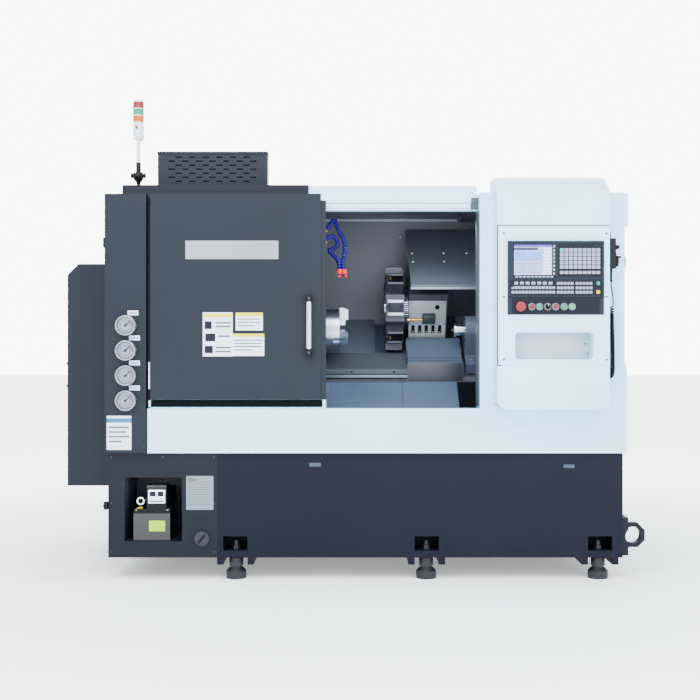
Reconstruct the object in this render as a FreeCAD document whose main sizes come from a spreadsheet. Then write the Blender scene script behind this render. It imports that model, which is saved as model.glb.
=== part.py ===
import FreeCAD, Part
import Sketcher
import math
import os
import re

# A slant-bed CNC turning lathe. Millimetres. +X runs along the spindle towards the tailstock,
# +Y runs into the machine from the operator's side, +Z is up, and the origin is on the floor
# under the middle of the machine. The bed leans back by the slant angle about the spindle axis:
# v runs up the slant from that axis and w stands square off it.

doc = FreeCAD.newDocument("turning_lathe")
sizes = doc.addObject("Spreadsheet::Sheet", "Sizes")
ALIASES = {}
NODES = []
CORNERS = {}


def size(**values):
    """Write driving dimensions to the sheet, one aliased row each."""
    for name, value in values.items():
        row = len(ALIASES) + 1
        sizes.set(f"A{row}", name)
        sizes.set(f"B{row}", str(value))
        sizes.setAlias(f"B{row}", name)
        ALIASES[name] = value


# Overall sizes
size(face_y=-710, base_left=-1099, base_right=1228, base_front=-690, base_back=640)
size(base_bottom=100, base_top=574, service_right=-605, enclosure_back=620, wall=4, deck_wall=20)
size(fit_gap=0.3, running_fit=0.05)
# Working axis and slant
size(spindle_y=-230, spindle_z=1137, slant=30)
# Feet
size(foot_left_x=-524, foot_mid_x=342, foot_right_x="=base_right - 102", foot_setback=50)
size(foot_pad_radius=46, foot_neck_radius=32, foot_pad_thickness=34, foot_neck_z=48)
size(foot_screw_radius=12, foot_screw_top=172, foot_groove=10, foot_body_top=94, nut_radius=19, nut_thickness=18)
size(window_width=110, window_bottom=131, window_top=196, window_depth=150)
size(ear_width=28, ear_bottom=68, ear_depth=170)
# Lifting lugs
size(lug_x="=base_right + 57.5", lug_z=194, lug_hole_radius=38, lug_ring_radius=60, lug_thickness=40)
size(rear_lug_rise=14, lug_plate_half=60, lug_relief=4)
size(lug_plate_bottom=108, lug_plate_top=279, lug_plate_thickness=28, lug_setback=70)
# Service section
size(recess_left=-1025, recess_right=-765, recess_bottom=173, recess_top=462, recess_depth=300)
size(plug_x=-675, plug_z=186, plug_radius=34, plug_thickness=7)
# Bed, in the slanted frame
size(bed_left=-560, bed_right=1180, shelf_v=-178, shelf_end_v=60, bed_top_v=500)
size(shelf_w=-165, way_seat_w=-250, bed_back=400, way_height=15, way_width=60)
size(lower_way_v=90, upper_way_v=400, tail_way_left_x=560, tail_way_width=40)
size(tail_way_front_v=-150, tail_way_back_v=0, core_top=800, core_wall=60)
# Chamber
size(chamber_left=-160, liner_wall=3, liner_back=345, nose_clearance=3, roof_line=1743)
size(chute_low_z=600, chute_high_z=890, strip_top=946, strip_thickness=3)
# Headstock and drive
size(headstock_left=-560, headstock_right=-175, headstock_half=170, headstock_top_w=150)
size(nose_radius=118, nose_right=-157, spindle_radius=60, spindle_left=-735, spindle_bore=26)
size(chuck_left=-150, chuck_right=-57, chuck_radius=105, jaw_right=-15, jaw_width=36)
size(jaw_slot_depth=30, jaw_slot_width=24, jaw_inner=24, jaw_outer=108, jaw_low_inner=50)
size(cylinder_left=-880, cylinder_radius=88, cylinder_cap_radius=52)
size(pulley_left=-700, pulley_right=-620, pulley_radius=120, flange_height=8, flange_width=5)
size(motor_y=230, motor_z=800, motor_radius=145, motor_left=-1060, motor_right=-730)
size(motor_pulley_radius=75, motor_shaft_radius=24, belt_thickness=9, belt_width=62)


def bind(thing, prop, formula):
    """Tie a property to a formula of the sheet's aliases."""
    def cell(match):
        word = match.group(0)
        return "Sizes." + word if word in ALIASES else word
    thing.setExpression(prop, re.sub(r"[a-z][a-z0-9_]*", cell, str(formula)))


TURN = {
    "x": FreeCAD.Rotation(FreeCAD.Vector(0, 1, 0), 90),
    "y": FreeCAD.Rotation(FreeCAD.Vector(1, 0, 0), -90),
    "z": FreeCAD.Rotation(),
}


def place(thing, x, y, z, rotation=None):
    """Put an object's origin at a point given by formulas."""
    thing.Placement = FreeCAD.Placement(FreeCAD.Vector(), rotation or FreeCAD.Rotation())
    bind(thing, "Placement.Base.x", x)
    bind(thing, "Placement.Base.y", y)
    bind(thing, "Placement.Base.z", z)
    return thing


def box(x, y, z):
    """A box between pairs of formulas along X, Y and Z."""
    block = doc.addObject("Part::Box", "Block")
    bind(block, "Length", f"({x[1]}) - ({x[0]})")
    bind(block, "Width", f"({y[1]}) - ({y[0]})")
    bind(block, "Height", f"({z[1]}) - ({z[0]})")
    CORNERS[block.Name] = (x[0], y[0], z[0])
    return place(block, x[0], y[0], z[0])


def rod(along, start, radius, length):
    """A cylinder from a start point along +X, +Y or +Z."""
    bar = doc.addObject("Part::Cylinder", "Rod")
    bind(bar, "Radius", radius)
    bind(bar, "Height", length)
    return place(bar, *start, TURN[along])


def taper(along, start, radius_start, radius_end, length):
    """A cone frustum from a start point along +X, +Y or +Z."""
    cone = doc.addObject("Part::Cone", "Taper")
    bind(cone, "Radius1", radius_start)
    bind(cone, "Radius2", radius_end)
    bind(cone, "Height", length)
    return place(cone, *start, TURN[along])


def hexagon(along, start, radius, length):
    """A six-sided prism from a start point, its corners at the radius."""
    prism = doc.addObject("Part::Prism", "Hexagon")
    prism.Polygon = 6
    bind(prism, "Circumradius", radius)
    bind(prism, "Height", length)
    return place(prism, *start, TURN[along])


def fuse(*things):
    if len(things) == 1:
        return things[0]
    joined = doc.addObject("Part::MultiFuse", "Joined")
    joined.Shapes = list(things)
    joined.Refine = True
    return joined


def cut(base, *tools):
    result = doc.addObject("Part::Cut", "Trimmed")
    result.Base = base
    result.Tool = fuse(*tools)
    return result


def group(*things):
    """Separate solids that share one node."""
    bundle = doc.addObject("Part::Compound", "Group")
    bundle.Links = list(things)
    return bundle


def node(name, thing):
    """Name a finished sub-part; its label is also its file's name."""
    thing.Label = name
    NODES.append(thing)
    return thing


def leaned(block, angle, centre_y, centre_z):
    """Turn a box drawn as (X, across, up) about an X axis through the centre."""
    x, across, up = CORNERS[block.Name]
    return place(block, x, f"{centre_y} + ({across}) * cos({angle}) - ({up}) * sin({angle})",
                 f"{centre_z} + ({across}) * sin({angle}) + ({up}) * cos({angle})",
                 FreeCAD.Rotation(FreeCAD.Vector(1, 0, 0), ALIASES.get(angle, angle)))


def slanted(block):
    """Lean a box drawn in the slanted frame (X, v, w) back about the spindle axis."""
    leaned(block, "slant", "spindle_y", "spindle_z")
    bind(block, "Placement.Rotation.Angle", "slant")
    return block


def slant_y(v, w):
    return f"(spindle_y + ({v}) * cos(slant) - ({w}) * sin(slant))"


def slant_z(v, w):
    return f"(spindle_z + ({v}) * sin(slant) + ({w}) * cos(slant))"


def origin_plane(body, role):
    return next(f for f in body.Origin.OriginFeatures if f.Role == role)


def outline_pad(plane, points, start, length):
    """A PartDesign body: a closed outline of formula points padded by a length.

    YZ outlines are padded along +X from start; XZ outlines are padded along -Y from start,
    XY outlines along +Z.
    """
    body = doc.addObject("PartDesign::Body", "Body")
    sketch = body.newObject("Sketcher::SketchObject", "Outline")
    sketch.AttachmentSupport = (origin_plane(body, plane + "_Plane"), [""])
    sketch.MapMode = "FlatFace"
    bind(sketch, "AttachmentOffset.Base.z", f"-({start})" if plane == "XZ" else start)
    count = len(points)
    for corner in range(count):
        # Rough corners only; the bound constraints below set the real ones.
        here = corner * 2 * math.pi / count
        there = (corner + 1) * 2 * math.pi / count
        sketch.addGeometry(Part.LineSegment(
            FreeCAD.Vector(100 * math.cos(here), 100 * math.sin(here), 0),
            FreeCAD.Vector(100 * math.cos(there), 100 * math.sin(there), 0)), False)
    for corner, (across, up) in enumerate(points):
        sketch.addConstraint(Sketcher.Constraint("Coincident", corner, 2, (corner + 1) % count, 1))
        for kind, formula in (("DistanceX", across), ("DistanceY", up)):
            index = sketch.addConstraint(Sketcher.Constraint(kind, -1, 1, corner, 1, 1.0))
            bind(sketch, f"Constraints[{index}]", formula)
    pad = body.newObject("PartDesign::Pad", "Pad")
    pad.Profile = sketch
    bind(pad, "Length", length)
    body.Tip = pad
    return body


def tube(points, radius):
    """A round tube along straight runs joined by tangent arcs; prints its arcs' radii."""
    points = [FreeCAD.Vector(*point) for point in points]
    edges, radii = [], []
    start = points[0]
    for before, corner, after in zip(points, points[1:], points[2:]):
        back, ahead = (before - corner), (after - corner)
        turn = math.pi - back.getAngle(ahead)
        reach = 0.45 * min(back.Length, ahead.Length)
        radii.append(reach / math.tan(turn / 2))
        first = corner + back.normalize() * reach
        last = corner + ahead.normalize() * reach
        centre_way = (back + ahead).normalize()
        middle = corner + centre_way * (radii[-1] / math.cos(turn / 2) - radii[-1])
        edges += [Part.LineSegment(start, first).toShape(), Part.Arc(first, middle, last).toShape()]
        start = last
    edges.append(Part.LineSegment(start, points[-1]).toShape())
    path = Part.Wire(edges)
    section = Part.Wire(Part.makeCircle(radius, points[0], points[1] - points[0]))
    solid = path.makePipeShell([section], True, True)
    expected = math.pi * radius ** 2 * path.Length
    print(f"tube: length {path.Length:.0f}, volume ratio {solid.Volume / expected:.4f},",
          "radii", [round(value) for value in radii])
    return solid


def drawn(shape):
    """A free-form shape as an object of the document."""
    thing = doc.addObject("Part::Feature", "Drawn")
    thing.Shape = shape
    return thing


def foot_places():
    """X, setback side and Y of the six feet, front row first."""
    for row in ("front", "back"):
        for centre in ("foot_left_x", "foot_mid_x", "foot_right_x"):
            yield centre, row


def foot_y(row):
    return "base_front + foot_setback" if row == "front" else "base_back - foot_setback"


def base_frame():
    """Welded base: hollow box with a wrench window above each foot and ears beside it."""
    shell = cut(box(("service_right", "base_right"), ("base_front", "base_back"),
                    ("base_bottom", "base_top")),
                box(("service_right + deck_wall", "base_right - deck_wall"),
                    ("base_front + deck_wall", "base_back - deck_wall"),
                    ("window_bottom", "base_top - deck_wall")))
    added, removed = [], []
    for centre, row in foot_places():
        mouth, inner = (("base_front", "base_front + window_depth") if row == "front"
                        else ("base_back - window_depth", "base_back"))
        left, right = f"{centre} - window_width / 2", f"{centre} + window_width / 2"
        added.append(box((f"{left} - deck_wall", f"{right} + deck_wall"),
                         (f"{mouth} + 1", f"{inner} - 1"), ("window_bottom - 1", "window_top + deck_wall")))
        back = "window_depth - deck_wall"
        opening = (("base_front", f"base_front + {back}") if row == "front"
                   else (f"base_back - {back}", "base_back"))
        removed.append(box((left, right), opening, ("window_bottom", "window_top")))
        removed.append(rod("z", (centre, foot_y(row), "base_bottom - 1"),
                           "foot_screw_radius + fit_gap", "deck_wall * 3"))
        ear_y = (("base_front", "base_front + ear_depth") if row == "front"
                 else ("base_back - ear_depth", "base_back"))
        for inside, outside in ((left, f"{left} - ear_width"), (right, f"{right} + ear_width")):
            low, high = (outside, inside) if inside is left else (inside, outside)
            added.append(box((low, high), ear_y, ("ear_bottom", "base_bottom")))
    return node("base_frame", cut(fuse(shell, *added), *removed))


def levelling_feet():
    feet, nuts = [], []
    for centre, row in foot_places():
        y = foot_y(row)
        feet.append(fuse(
            rod("z", (centre, y, 0), "foot_pad_radius", "foot_pad_thickness"),
            taper("z", (centre, y, "foot_pad_thickness"), "foot_pad_radius", "foot_neck_radius",
                  "foot_neck_z - foot_pad_thickness"),
            rod("z", (centre, y, "foot_neck_z"), "foot_neck_radius - 5", "foot_groove"),
            rod("z", (centre, y, "foot_neck_z + foot_groove"), "foot_neck_radius",
                "foot_body_top - foot_neck_z - foot_groove"),
            rod("z", (centre, y, "foot_body_top"), "foot_screw_radius",
                "foot_screw_top - foot_body_top")))
        nuts.append(cut(hexagon("z", (centre, y, "window_bottom"), "nut_radius", "nut_thickness"),
                        rod("z", (centre, y, "window_bottom - 1"), "foot_screw_radius",
                            "nut_thickness + 2")))
    return node("levelling_feet", group(*feet, *nuts))


def lifting_lugs():
    """Plate and octagonal eye at the front and rear of the right end."""
    lugs = []
    for y, z in (("base_front + lug_setback", "lug_z"), ("base_back - lug_setback", "lug_z + rear_lug_rise")):
        eye = doc.addObject("Part::Prism", "Eye")
        eye.Polygon = 8
        bind(eye, "Circumradius", "lug_ring_radius")
        bind(eye, "Height", "lug_thickness")
        place(eye, "lug_x", f"{y} - lug_thickness / 2", z,
              FreeCAD.Rotation(FreeCAD.Vector(1, 0, 0), -90) * FreeCAD.Rotation(FreeCAD.Vector(0, 0, 1), 22.5))
        plate = box(("base_right", "base_right + lug_plate_thickness"),
                    (f"{y} - lug_plate_half", f"{y} + lug_plate_half"), ("lug_plate_bottom", "lug_plate_top"))
        sides = [rod("y", ("lug_x", start, z), "lug_hole_radius + lug_relief",
                     "lug_plate_half - lug_thickness / 2 + 1")
                 for start in (f"{y} - lug_plate_half - 1", f"{y} + lug_thickness / 2")]
        neck = box(("base_right", "lug_x - lug_hole_radius - 4"),
                   (f"{y} - lug_thickness / 2", f"{y} + lug_thickness / 2"), (f"{z} - 50", f"{z} + 50"))
        lugs.append(cut(fuse(cut(plate, *sides), neck, eye),
                        rod("y", ("lug_x", f"{y} - lug_thickness", z), "lug_hole_radius",
                            "lug_thickness * 2")))
    return node("lifting_lugs", group(*lugs))


def service_housing():
    """Left end of the base: hollow box with the lubrication recess and a plug hole."""
    outer = box(("base_left", "service_right - fit_gap"), ("base_front", "base_back"),
                ("base_bottom", "base_top"))
    inner = box(("base_left + wall", "service_right - fit_gap - wall"),
                ("base_front + wall", "base_back - wall"), ("base_bottom + wall", "base_top - wall"))
    tray = box(("recess_left - wall", "recess_right + wall"),
               ("base_front + 1", "base_front + recess_depth + wall"),
               ("recess_bottom - wall", "recess_top + wall"))
    hollow = box(("recess_left", "recess_right"), ("base_front - 1", "base_front + recess_depth"),
                 ("recess_bottom", "recess_top"))
    plug_hole = rod("y", ("plug_x", "base_front - 1", "plug_z"), "plug_radius + fit_gap", "wall + 2")
    return node("service_housing", group(cut(fuse(cut(outer, inner), tray), hollow, plug_hole), drain_plug()))


def drain_plug():
    """Round slotted plug with a flange that bears on the housing's face."""
    flange = rod("y", ("plug_x", "base_front - plug_thickness", "plug_z"), "plug_radius + 5",
                 "plug_thickness")
    shank = rod("y", ("plug_x", "base_front - 1", "plug_z"), "plug_radius", "wall + 8")
    slot = box(("plug_x - plug_radius * 0.8", "plug_x + plug_radius * 0.8"),
                          ("base_front - plug_thickness - 1", "base_front - plug_thickness + 4"),
                          ("plug_z - 3.5", "plug_z + 3.5"))
    return cut(fuse(flange, shank), slot)


def slant_bed():
    """Bed casting: a stepped slope with box ways on it, cored from below."""
    start_v = "shelf_v"
    casting = outline_pad("YZ", [
        (slant_y(start_v, "shelf_w"), "base_top"),
        (slant_y(start_v, "shelf_w"), slant_z(start_v, "shelf_w")),
        (slant_y("shelf_end_v", "shelf_w"), slant_z("shelf_end_v", "shelf_w")),
        (slant_y("shelf_end_v", "way_seat_w"), slant_z("shelf_end_v", "way_seat_w")),
        (slant_y("bed_top_v", "way_seat_w"), slant_z("bed_top_v", "way_seat_w")),
        ("bed_back", slant_z("bed_top_v", "way_seat_w")),
        ("bed_back", "base_top")], "bed_left", "bed_right - bed_left")
    cores = []
    for bay in range(3):
        left = f"bed_left + core_wall + {bay} * (bed_right - bed_left - core_wall) / 3"
        cores.append(box((left, f"{left} + (bed_right - bed_left - core_wall) / 3 - core_wall"),
                         (f"{slant_y(start_v, 'shelf_w')} + core_wall", "bed_back - core_wall"),
                         ("base_top - 1", "core_top")))
    hollow = cut(casting, *cores)
    ways = []
    for v, width, left, top in (
            ("lower_way_v", "way_width", "chamber_left + 20", "way_seat_w"),
            ("upper_way_v", "way_width", "chamber_left + 20", "way_seat_w"),
            ("tail_way_front_v", "tail_way_width", "tail_way_left_x", "shelf_w"),
            ("tail_way_back_v", "tail_way_width", "tail_way_left_x", "shelf_w")):
        ways.append(slanted(box((left, "bed_right"), (v, f"{v} + {width}"),
                                (f"{top} - 5", f"{top} + way_height"))))
    return node("slant_bed", fuse(hollow, *ways))


def headstock():
    """Spindle housing on the bed's left end, with a round nose through the chamber's wall."""
    block = slanted(box(("headstock_left", "headstock_right"), ("-headstock_half", "headstock_half"),
                        ("shelf_w + fit_gap / 3", "headstock_top_w")))
    foot = slanted(box(("headstock_left", "headstock_right"), ("shelf_end_v + 2", "headstock_half + 60"),
                       ("way_seat_w + fit_gap / 3", "shelf_w + 60")))
    nose = rod("x", ("headstock_right - 1", "spindle_y", "spindle_z"), "nose_radius",
               "nose_right - headstock_right + 1")
    bore = rod("x", ("headstock_left - 1", "spindle_y", "spindle_z"), "spindle_radius + running_fit",
               "nose_right - headstock_left + 2")
    return node("headstock", cut(fuse(block, foot, nose), bore))


def spindle():
    shaft = rod("x", ("spindle_left", "spindle_y", "spindle_z"), "spindle_radius",
                "chuck_left - spindle_left")
    collar = rod("x", ("nose_right + 2", "spindle_y", "spindle_z"), "chuck_radius - 12",
                 "chuck_left - nose_right - 2")
    bore = rod("x", ("spindle_left - 1", "spindle_y", "spindle_z"), "spindle_bore",
               "chuck_left - spindle_left + 2")
    return node("spindle", cut(fuse(shaft, collar), bore))


def chuck_body():
    """Three-jaw chuck body with radial slots, closed by a face plug."""
    body = rod("x", ("chuck_left", "spindle_y", "spindle_z"), "chuck_radius", "chuck_right - chuck_left")
    slots = [turned(box(("chuck_right - jaw_slot_depth", "chuck_right + 1"),
                        ("-jaw_slot_width / 2", "jaw_slot_width / 2"), (2, "chuck_radius + 2")), angle)
             for angle in JAW_ANGLES]
    return node("chuck_body", cut(body, *slots))


JAW_ANGLES = (0, 120, 240)


def turned(block, angle):
    """Turn a box drawn upright on the spindle axis by an angle about it."""
    return leaned(block, angle, "spindle_y", "spindle_z")


def chuck_jaws():
    """Stepped jaws whose keys run in the chuck's slots with sliding clearance."""
    for number, angle in enumerate(JAW_ANGLES, 1):
        key = box(("chuck_right - jaw_slot_depth + fit_gap", "chuck_right + 1"),
                  ("-jaw_slot_width / 2 + fit_gap / 3", "jaw_slot_width / 2 - fit_gap / 3"),
                  ("jaw_inner + 14", "jaw_outer - 14"))
        low = box(("chuck_right + fit_gap", "jaw_right - 14"), ("-jaw_width / 2", "jaw_width / 2"),
                  ("jaw_inner", "jaw_outer"))
        high = box(("chuck_right + fit_gap", "jaw_right"), ("-jaw_width / 2", "jaw_width / 2"),
                   ("jaw_low_inner", "jaw_outer - 6"))
        node(f"chuck_jaw_{number}", fuse(*[turned(piece, angle) for piece in (key, low, high)]))


def spindle_rear():
    """Hydraulic chuck cylinder at the spindle's rear end, and the pulley in front of it."""
    body = rod("x", ("cylinder_left + 60", "spindle_y", "spindle_z"), "cylinder_radius",
               "spindle_left - cylinder_left - 60")
    cap = rod("x", ("cylinder_left", "spindle_y", "spindle_z"), "cylinder_cap_radius", 61)
    wheel = pulley("spindle_y", "spindle_z", "pulley_radius", "spindle_radius")
    return node("chuck_cylinder", group(fuse(body, cap), wheel))


def pulley(y, z, radius, bore):
    """Flanged belt pulley."""
    left, width = "pulley_left", "pulley_right - pulley_left"
    rim = rod("x", (left, y, z), radius, width)
    flanges = [rod("x", (start, y, z), f"{radius} + belt_thickness + flange_height", "flange_width")
               for start in (left, "pulley_right - flange_width")]
    hole = rod("x", (f"{left} - 1", y, z), bore, f"{width} + 2")
    return cut(fuse(rim, *flanges), hole)


def drive_belt():
    """Closed belt: outer and inner stadium outlines around the two pulleys."""
    small, large = ALIASES["motor_pulley_radius"], ALIASES["pulley_radius"]
    gap, thick, wide = ALIASES["fit_gap"], ALIASES["belt_thickness"], ALIASES["belt_width"]
    lift_y = ALIASES["motor_y"] - ALIASES["spindle_y"]
    lift_z = ALIASES["motor_z"] - ALIASES["spindle_z"]
    reach = math.hypot(lift_y, lift_z)
    lean = math.asin((large - small) / reach)

    def loop(extra):
        big, little = large + extra, small + extra

        def spot(centre, radius, angle):
            return FreeCAD.Vector(0, centre + radius * math.cos(angle), radius * math.sin(angle))
        upper, lower = math.pi / 2 - lean, -math.pi / 2 + lean
        edges = [Part.LineSegment(spot(0, big, upper), spot(reach, little, upper)).toShape(),
                 Part.Arc(spot(reach, little, upper), spot(reach, little, 0),
                          spot(reach, little, lower)).toShape(),
                 Part.LineSegment(spot(reach, little, lower), spot(0, big, lower)).toShape(),
                 Part.Arc(spot(0, big, lower), spot(0, big, math.pi), spot(0, big, upper)).toShape()]
        return Part.Face(Part.Wire(edges)).extrude(FreeCAD.Vector(wide, 0, 0))

    thing = drawn(loop(gap + thick - 1).cut(loop(gap)))
    turn = FreeCAD.Rotation(FreeCAD.Vector(1, 0, 0), math.degrees(math.atan2(lift_z, lift_y)))
    place(thing, "(pulley_left + pulley_right - belt_width) / 2", "spindle_y", "spindle_z", turn)
    return node("drive_belt", thing)


def spindle_motor():
    """Foot-mounted motor standing on the base's left section, shaft towards the pulley."""
    frame = rod("x", ("motor_left", "motor_y", "motor_z"), "motor_radius", "motor_right - motor_left")
    stand = box(("motor_left + 40", "motor_right - 40"), ("motor_y - motor_radius", "motor_y + motor_radius"),
                ("base_top + fit_gap / 3", "motor_z - motor_radius / 2"))
    terminal_box = box(("motor_left + 70", "motor_left + 190"), ("motor_y - 60", "motor_y + 60"),
                       ("motor_z + motor_radius - 10", "motor_z + motor_radius + 60"))
    return node("spindle_motor", fuse(frame, stand, terminal_box))


def motor_pulley():
    """The motor's shaft end with its pulley pressed on."""
    shaft = rod("x", ("motor_right + fit_gap", "motor_y", "motor_z"), "motor_shaft_radius",
                "pulley_right - motor_right - fit_gap")
    wheel = pulley("motor_y", "motor_z", "motor_pulley_radius", "motor_shaft_radius")
    return node("motor_pulley", group(shaft, wheel))


# Carriage, turret and tailstock
size(saddle_left=300, saddle_right=560, saddle_v=62, saddle_back_v=503, saddle_top_w=-190)
size(cover_left=275, cover_right=545, cover_front_v=-148, cover_split_v=-40, cover_back_v=87)
size(cover_low_w=-101, cover_high_w=-95, skirt_bottom=885, skirt_y=-311)
size(sheet_left=63, sheet_w=-230, sheet_back_v=480, fixed_sheet_right=125)
size(guard_left=290, guard_right=700, guard_w=240, guard_front_v=14, guard_back_v=672, guard_wall_v=500)
size(slide_left=305, slide_right=480, slide_front_v=96, slide_back_v=420, slide_top_w=-125)
size(turret_left=290, turret_right=484, turret_front_v=140, turret_back_v=330, turret_half=125)
size(turret_v=220, disc_left=172, disc_right=264, disc_radius=160, turret_flange_radius=104)
size(tool_block_out=46, tool_block_width=86, tool_slot=26, tool_stations=8)
size(tail_left=560, tail_length=260, tail_front_v=-165, tail_back_v=85, tail_base_w=-100)
size(tail_half=75, tail_round=70, quill_radius=28, quill_left=516, centre_tip=495, quill_ring=34)
size(quill_length=250)


def saddle():
    """Carriage saddle on the box ways, with the stop that carries the front cover."""
    slab = slanted(box(("saddle_left", "saddle_right"), ("saddle_v", "saddle_back_v"),
                       ("way_seat_w + way_height + fit_gap", "saddle_top_w")))
    upstand = slanted(box(("saddle_left + 8", "cover_right - 8"), ("saddle_v", "cover_back_v - liner_wall"),
                          ("saddle_top_w - 1", "cover_low_w - 12")))
    return node("saddle", fuse(slab, upstand))


def way_cover():
    """Stepped cover and skirt before the saddle, and the sheet that slides under the fixed one."""
    high = cut(
        slanted(box(("cover_left", "cover_right"), ("cover_split_v", "cover_back_v"),
                    ("shelf_w + fit_gap", "cover_high_w"))),
        slanted(box(("cover_left + liner_wall", "cover_right - liner_wall"),
                    ("cover_split_v - 1", "cover_back_v - liner_wall"),
                    ("shelf_w - 1", "cover_high_w - liner_wall"))))
    low = cut(
        slanted(box(("cover_left + liner_wall", "cover_right - liner_wall"),
                    ("cover_front_v", "cover_split_v + 12"),
                    ("shelf_w + fit_gap", "cover_high_w - liner_wall"))),
        slanted(box(("cover_left + liner_wall * 2", "cover_right - liner_wall * 2"),
                    ("cover_front_v + liner_wall", "cover_split_v + 13"),
                    ("shelf_w - 1", "cover_high_w - liner_wall * 2"))))
    skirt = box(("cover_left", "cover_right"), ("skirt_y", "skirt_y + liner_wall"),
                ("skirt_bottom", slant_z("cover_front_v", "cover_low_w")))
    sliding = slanted(box(("sheet_left", "saddle_left"), ("shelf_end_v + 5", "sheet_back_v"),
                          ("way_seat_w + way_height + fit_gap", "sheet_w - fit_gap - 1")))
    return node("way_cover", group(fuse(high, low, skirt), sliding))


def carriage_guard():
    """Splash guard carried by the saddle's back edge, over the turret."""
    top = box(("guard_left", "guard_right"), ("guard_front_v", "guard_back_v"),
              ("guard_w", "guard_w + liner_wall"))
    lip = box(("guard_left", "guard_right"), ("guard_front_v", "guard_front_v + liner_wall"),
              ("guard_w - 22", "guard_w + liner_wall"))
    wall = box(("guard_left", "guard_right"), ("guard_wall_v", "guard_wall_v + liner_wall"),
               ("saddle_top_w", "guard_w + 1"))
    return node("carriage_guard", fuse(slanted(top), slanted(lip), slanted(wall)))


def way_sheets():
    """Sheet fixed over the bed's left, and the strip on the bed's front face."""
    fixed = slanted(box(("chamber_left", "fixed_sheet_right"), ("shelf_end_v + 3", "sheet_back_v"),
                        ("sheet_w", "sheet_w + liner_wall")))
    y = slant_y("shelf_v", "shelf_w")
    strip = box(("chamber_left", "guard_left"), (f"{y} - fit_gap / 3 - strip_thickness", f"{y} - fit_gap / 3"),
                ("strip_top - 50", "strip_top"))
    return fixed, strip


def cross_slide():
    """Slide up the slant, with the turret housing bolted on it."""
    base = slanted(box(("slide_left", "slide_right"), ("slide_front_v", "slide_back_v"),
                       ("saddle_top_w + fit_gap", "slide_top_w + 1")))
    housing = slanted(box(("turret_left", "turret_right"), ("turret_front_v", "turret_back_v"),
                          ("slide_top_w + 1 + fit_gap / 3", "turret_half")))
    return node("turret_slide", group(base, housing))


def turret_disc():
    """Polygonal tool disc with a hub behind it, and its clamp blocks."""
    centre_y, centre_z = slant_y("turret_v", 0), slant_z("turret_v", 0)
    disc = doc.addObject("Part::Prism", "Disc")
    bind(disc, "Polygon", "tool_stations")
    bind(disc, "Circumradius", "disc_radius / cos(180 / tool_stations)")
    bind(disc, "Height", "disc_right - disc_left")
    place(disc, "disc_left", centre_y, centre_z,
          FreeCAD.Rotation(FreeCAD.Vector(0, 1, 0), 90) * FreeCAD.Rotation(FreeCAD.Vector(0, 0, 1), 22.5))
    flange = rod("x", ("disc_right - 1", centre_y, centre_z), "turret_flange_radius",
                 "turret_left - fit_gap - disc_right + 1")
    node("turret_disc", fuse(disc, flange))
    blocks = []
    for station in range(ALIASES["tool_stations"]):
        body = box(("disc_left + 2", "disc_right - 6"), ("-tool_block_width / 2", "tool_block_width / 2"),
                   ("disc_radius + fit_gap / 3", "disc_radius + tool_block_out"))
        slot = box(("disc_left + 1", "disc_left + 24"), ("-tool_slot / 2", "tool_slot / 2"),
                   ("disc_radius - 1", "disc_radius + tool_block_out + 1"))
        angle = station * 360 / ALIASES["tool_stations"]
        blocks.append(cut(*[leaned(piece, angle, centre_y, centre_z) for piece in (body, slot)]))
    node("tool_blocks", group(*blocks))


def tailstock():
    """Tailstock on its own ways, its round top bored for the quill."""
    base = slanted(box(("tail_left", "tail_left + tail_length"), ("tail_front_v", "tail_back_v"),
                       ("shelf_w + way_height + fit_gap", "tail_base_w")))
    riser = slanted(box(("tail_left", "tail_left + tail_length"), ("-tail_half", "tail_half"),
                        ("tail_base_w - 1", 20)))
    barrel = rod("x", ("tail_left", "spindle_y", "spindle_z"), "tail_round", "tail_length")
    bore = rod("x", ("tail_left - 1", "spindle_y", "spindle_z"), "quill_radius + running_fit",
               "tail_length + 2")
    node("tailstock_body", cut(fuse(base, riser, barrel), bore))
    quill = rod("x", ("quill_left", "spindle_y", "spindle_z"), "quill_radius", "quill_length")
    collar = rod("x", ("quill_left - 8", "spindle_y", "spindle_z"), "quill_ring", 9)
    tip = taper("x", ("centre_tip", "spindle_y", "spindle_z"), 1, 12, "quill_left - 8 - centre_tip + 1")
    node("tailstock_quill", fuse(quill, collar, tip))


# Enclosure
size(column_left=-1111, column_right=-924, column_back=-560, column_top=1743)
size(panel_back_y=-666, panel_skin=3, apron_left=-918, apron_right="=base_right + 13", apron_top=774.5)
size(apron_back=-655)
size(end_cover_left=-1341, end_cover_front=-460, end_cover_back=400, end_cover_bottom=397)
size(end_cover_top=1446, end_cover_chamfer=52, roof_left=-1051, roof_split=-196, roof_front=-610)
size(roof_top=1797, vent_left=-906, vent_right=-392, vent_front=-510, vent_back=-430, vent_top=1966)
size(opening_right=580, header_bottom=1673, header_rail_top=1706, header_front=-668)
size(header_lip_y=-658, header_slope_y=-572, header_thickness=40)
size(housing_right="=base_right + 4", housing_top=1748, cap_right="=base_right + 22", cap_bottom=1597)
size(skirt_right="=base_right + 13")
size(skirt_top=974, jamb_back=-560, cabinet_left=100, cabinet_right=1150, cabinet_bottom=600)
size(cabinet_top=1700, cabinet_back=883)
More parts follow.
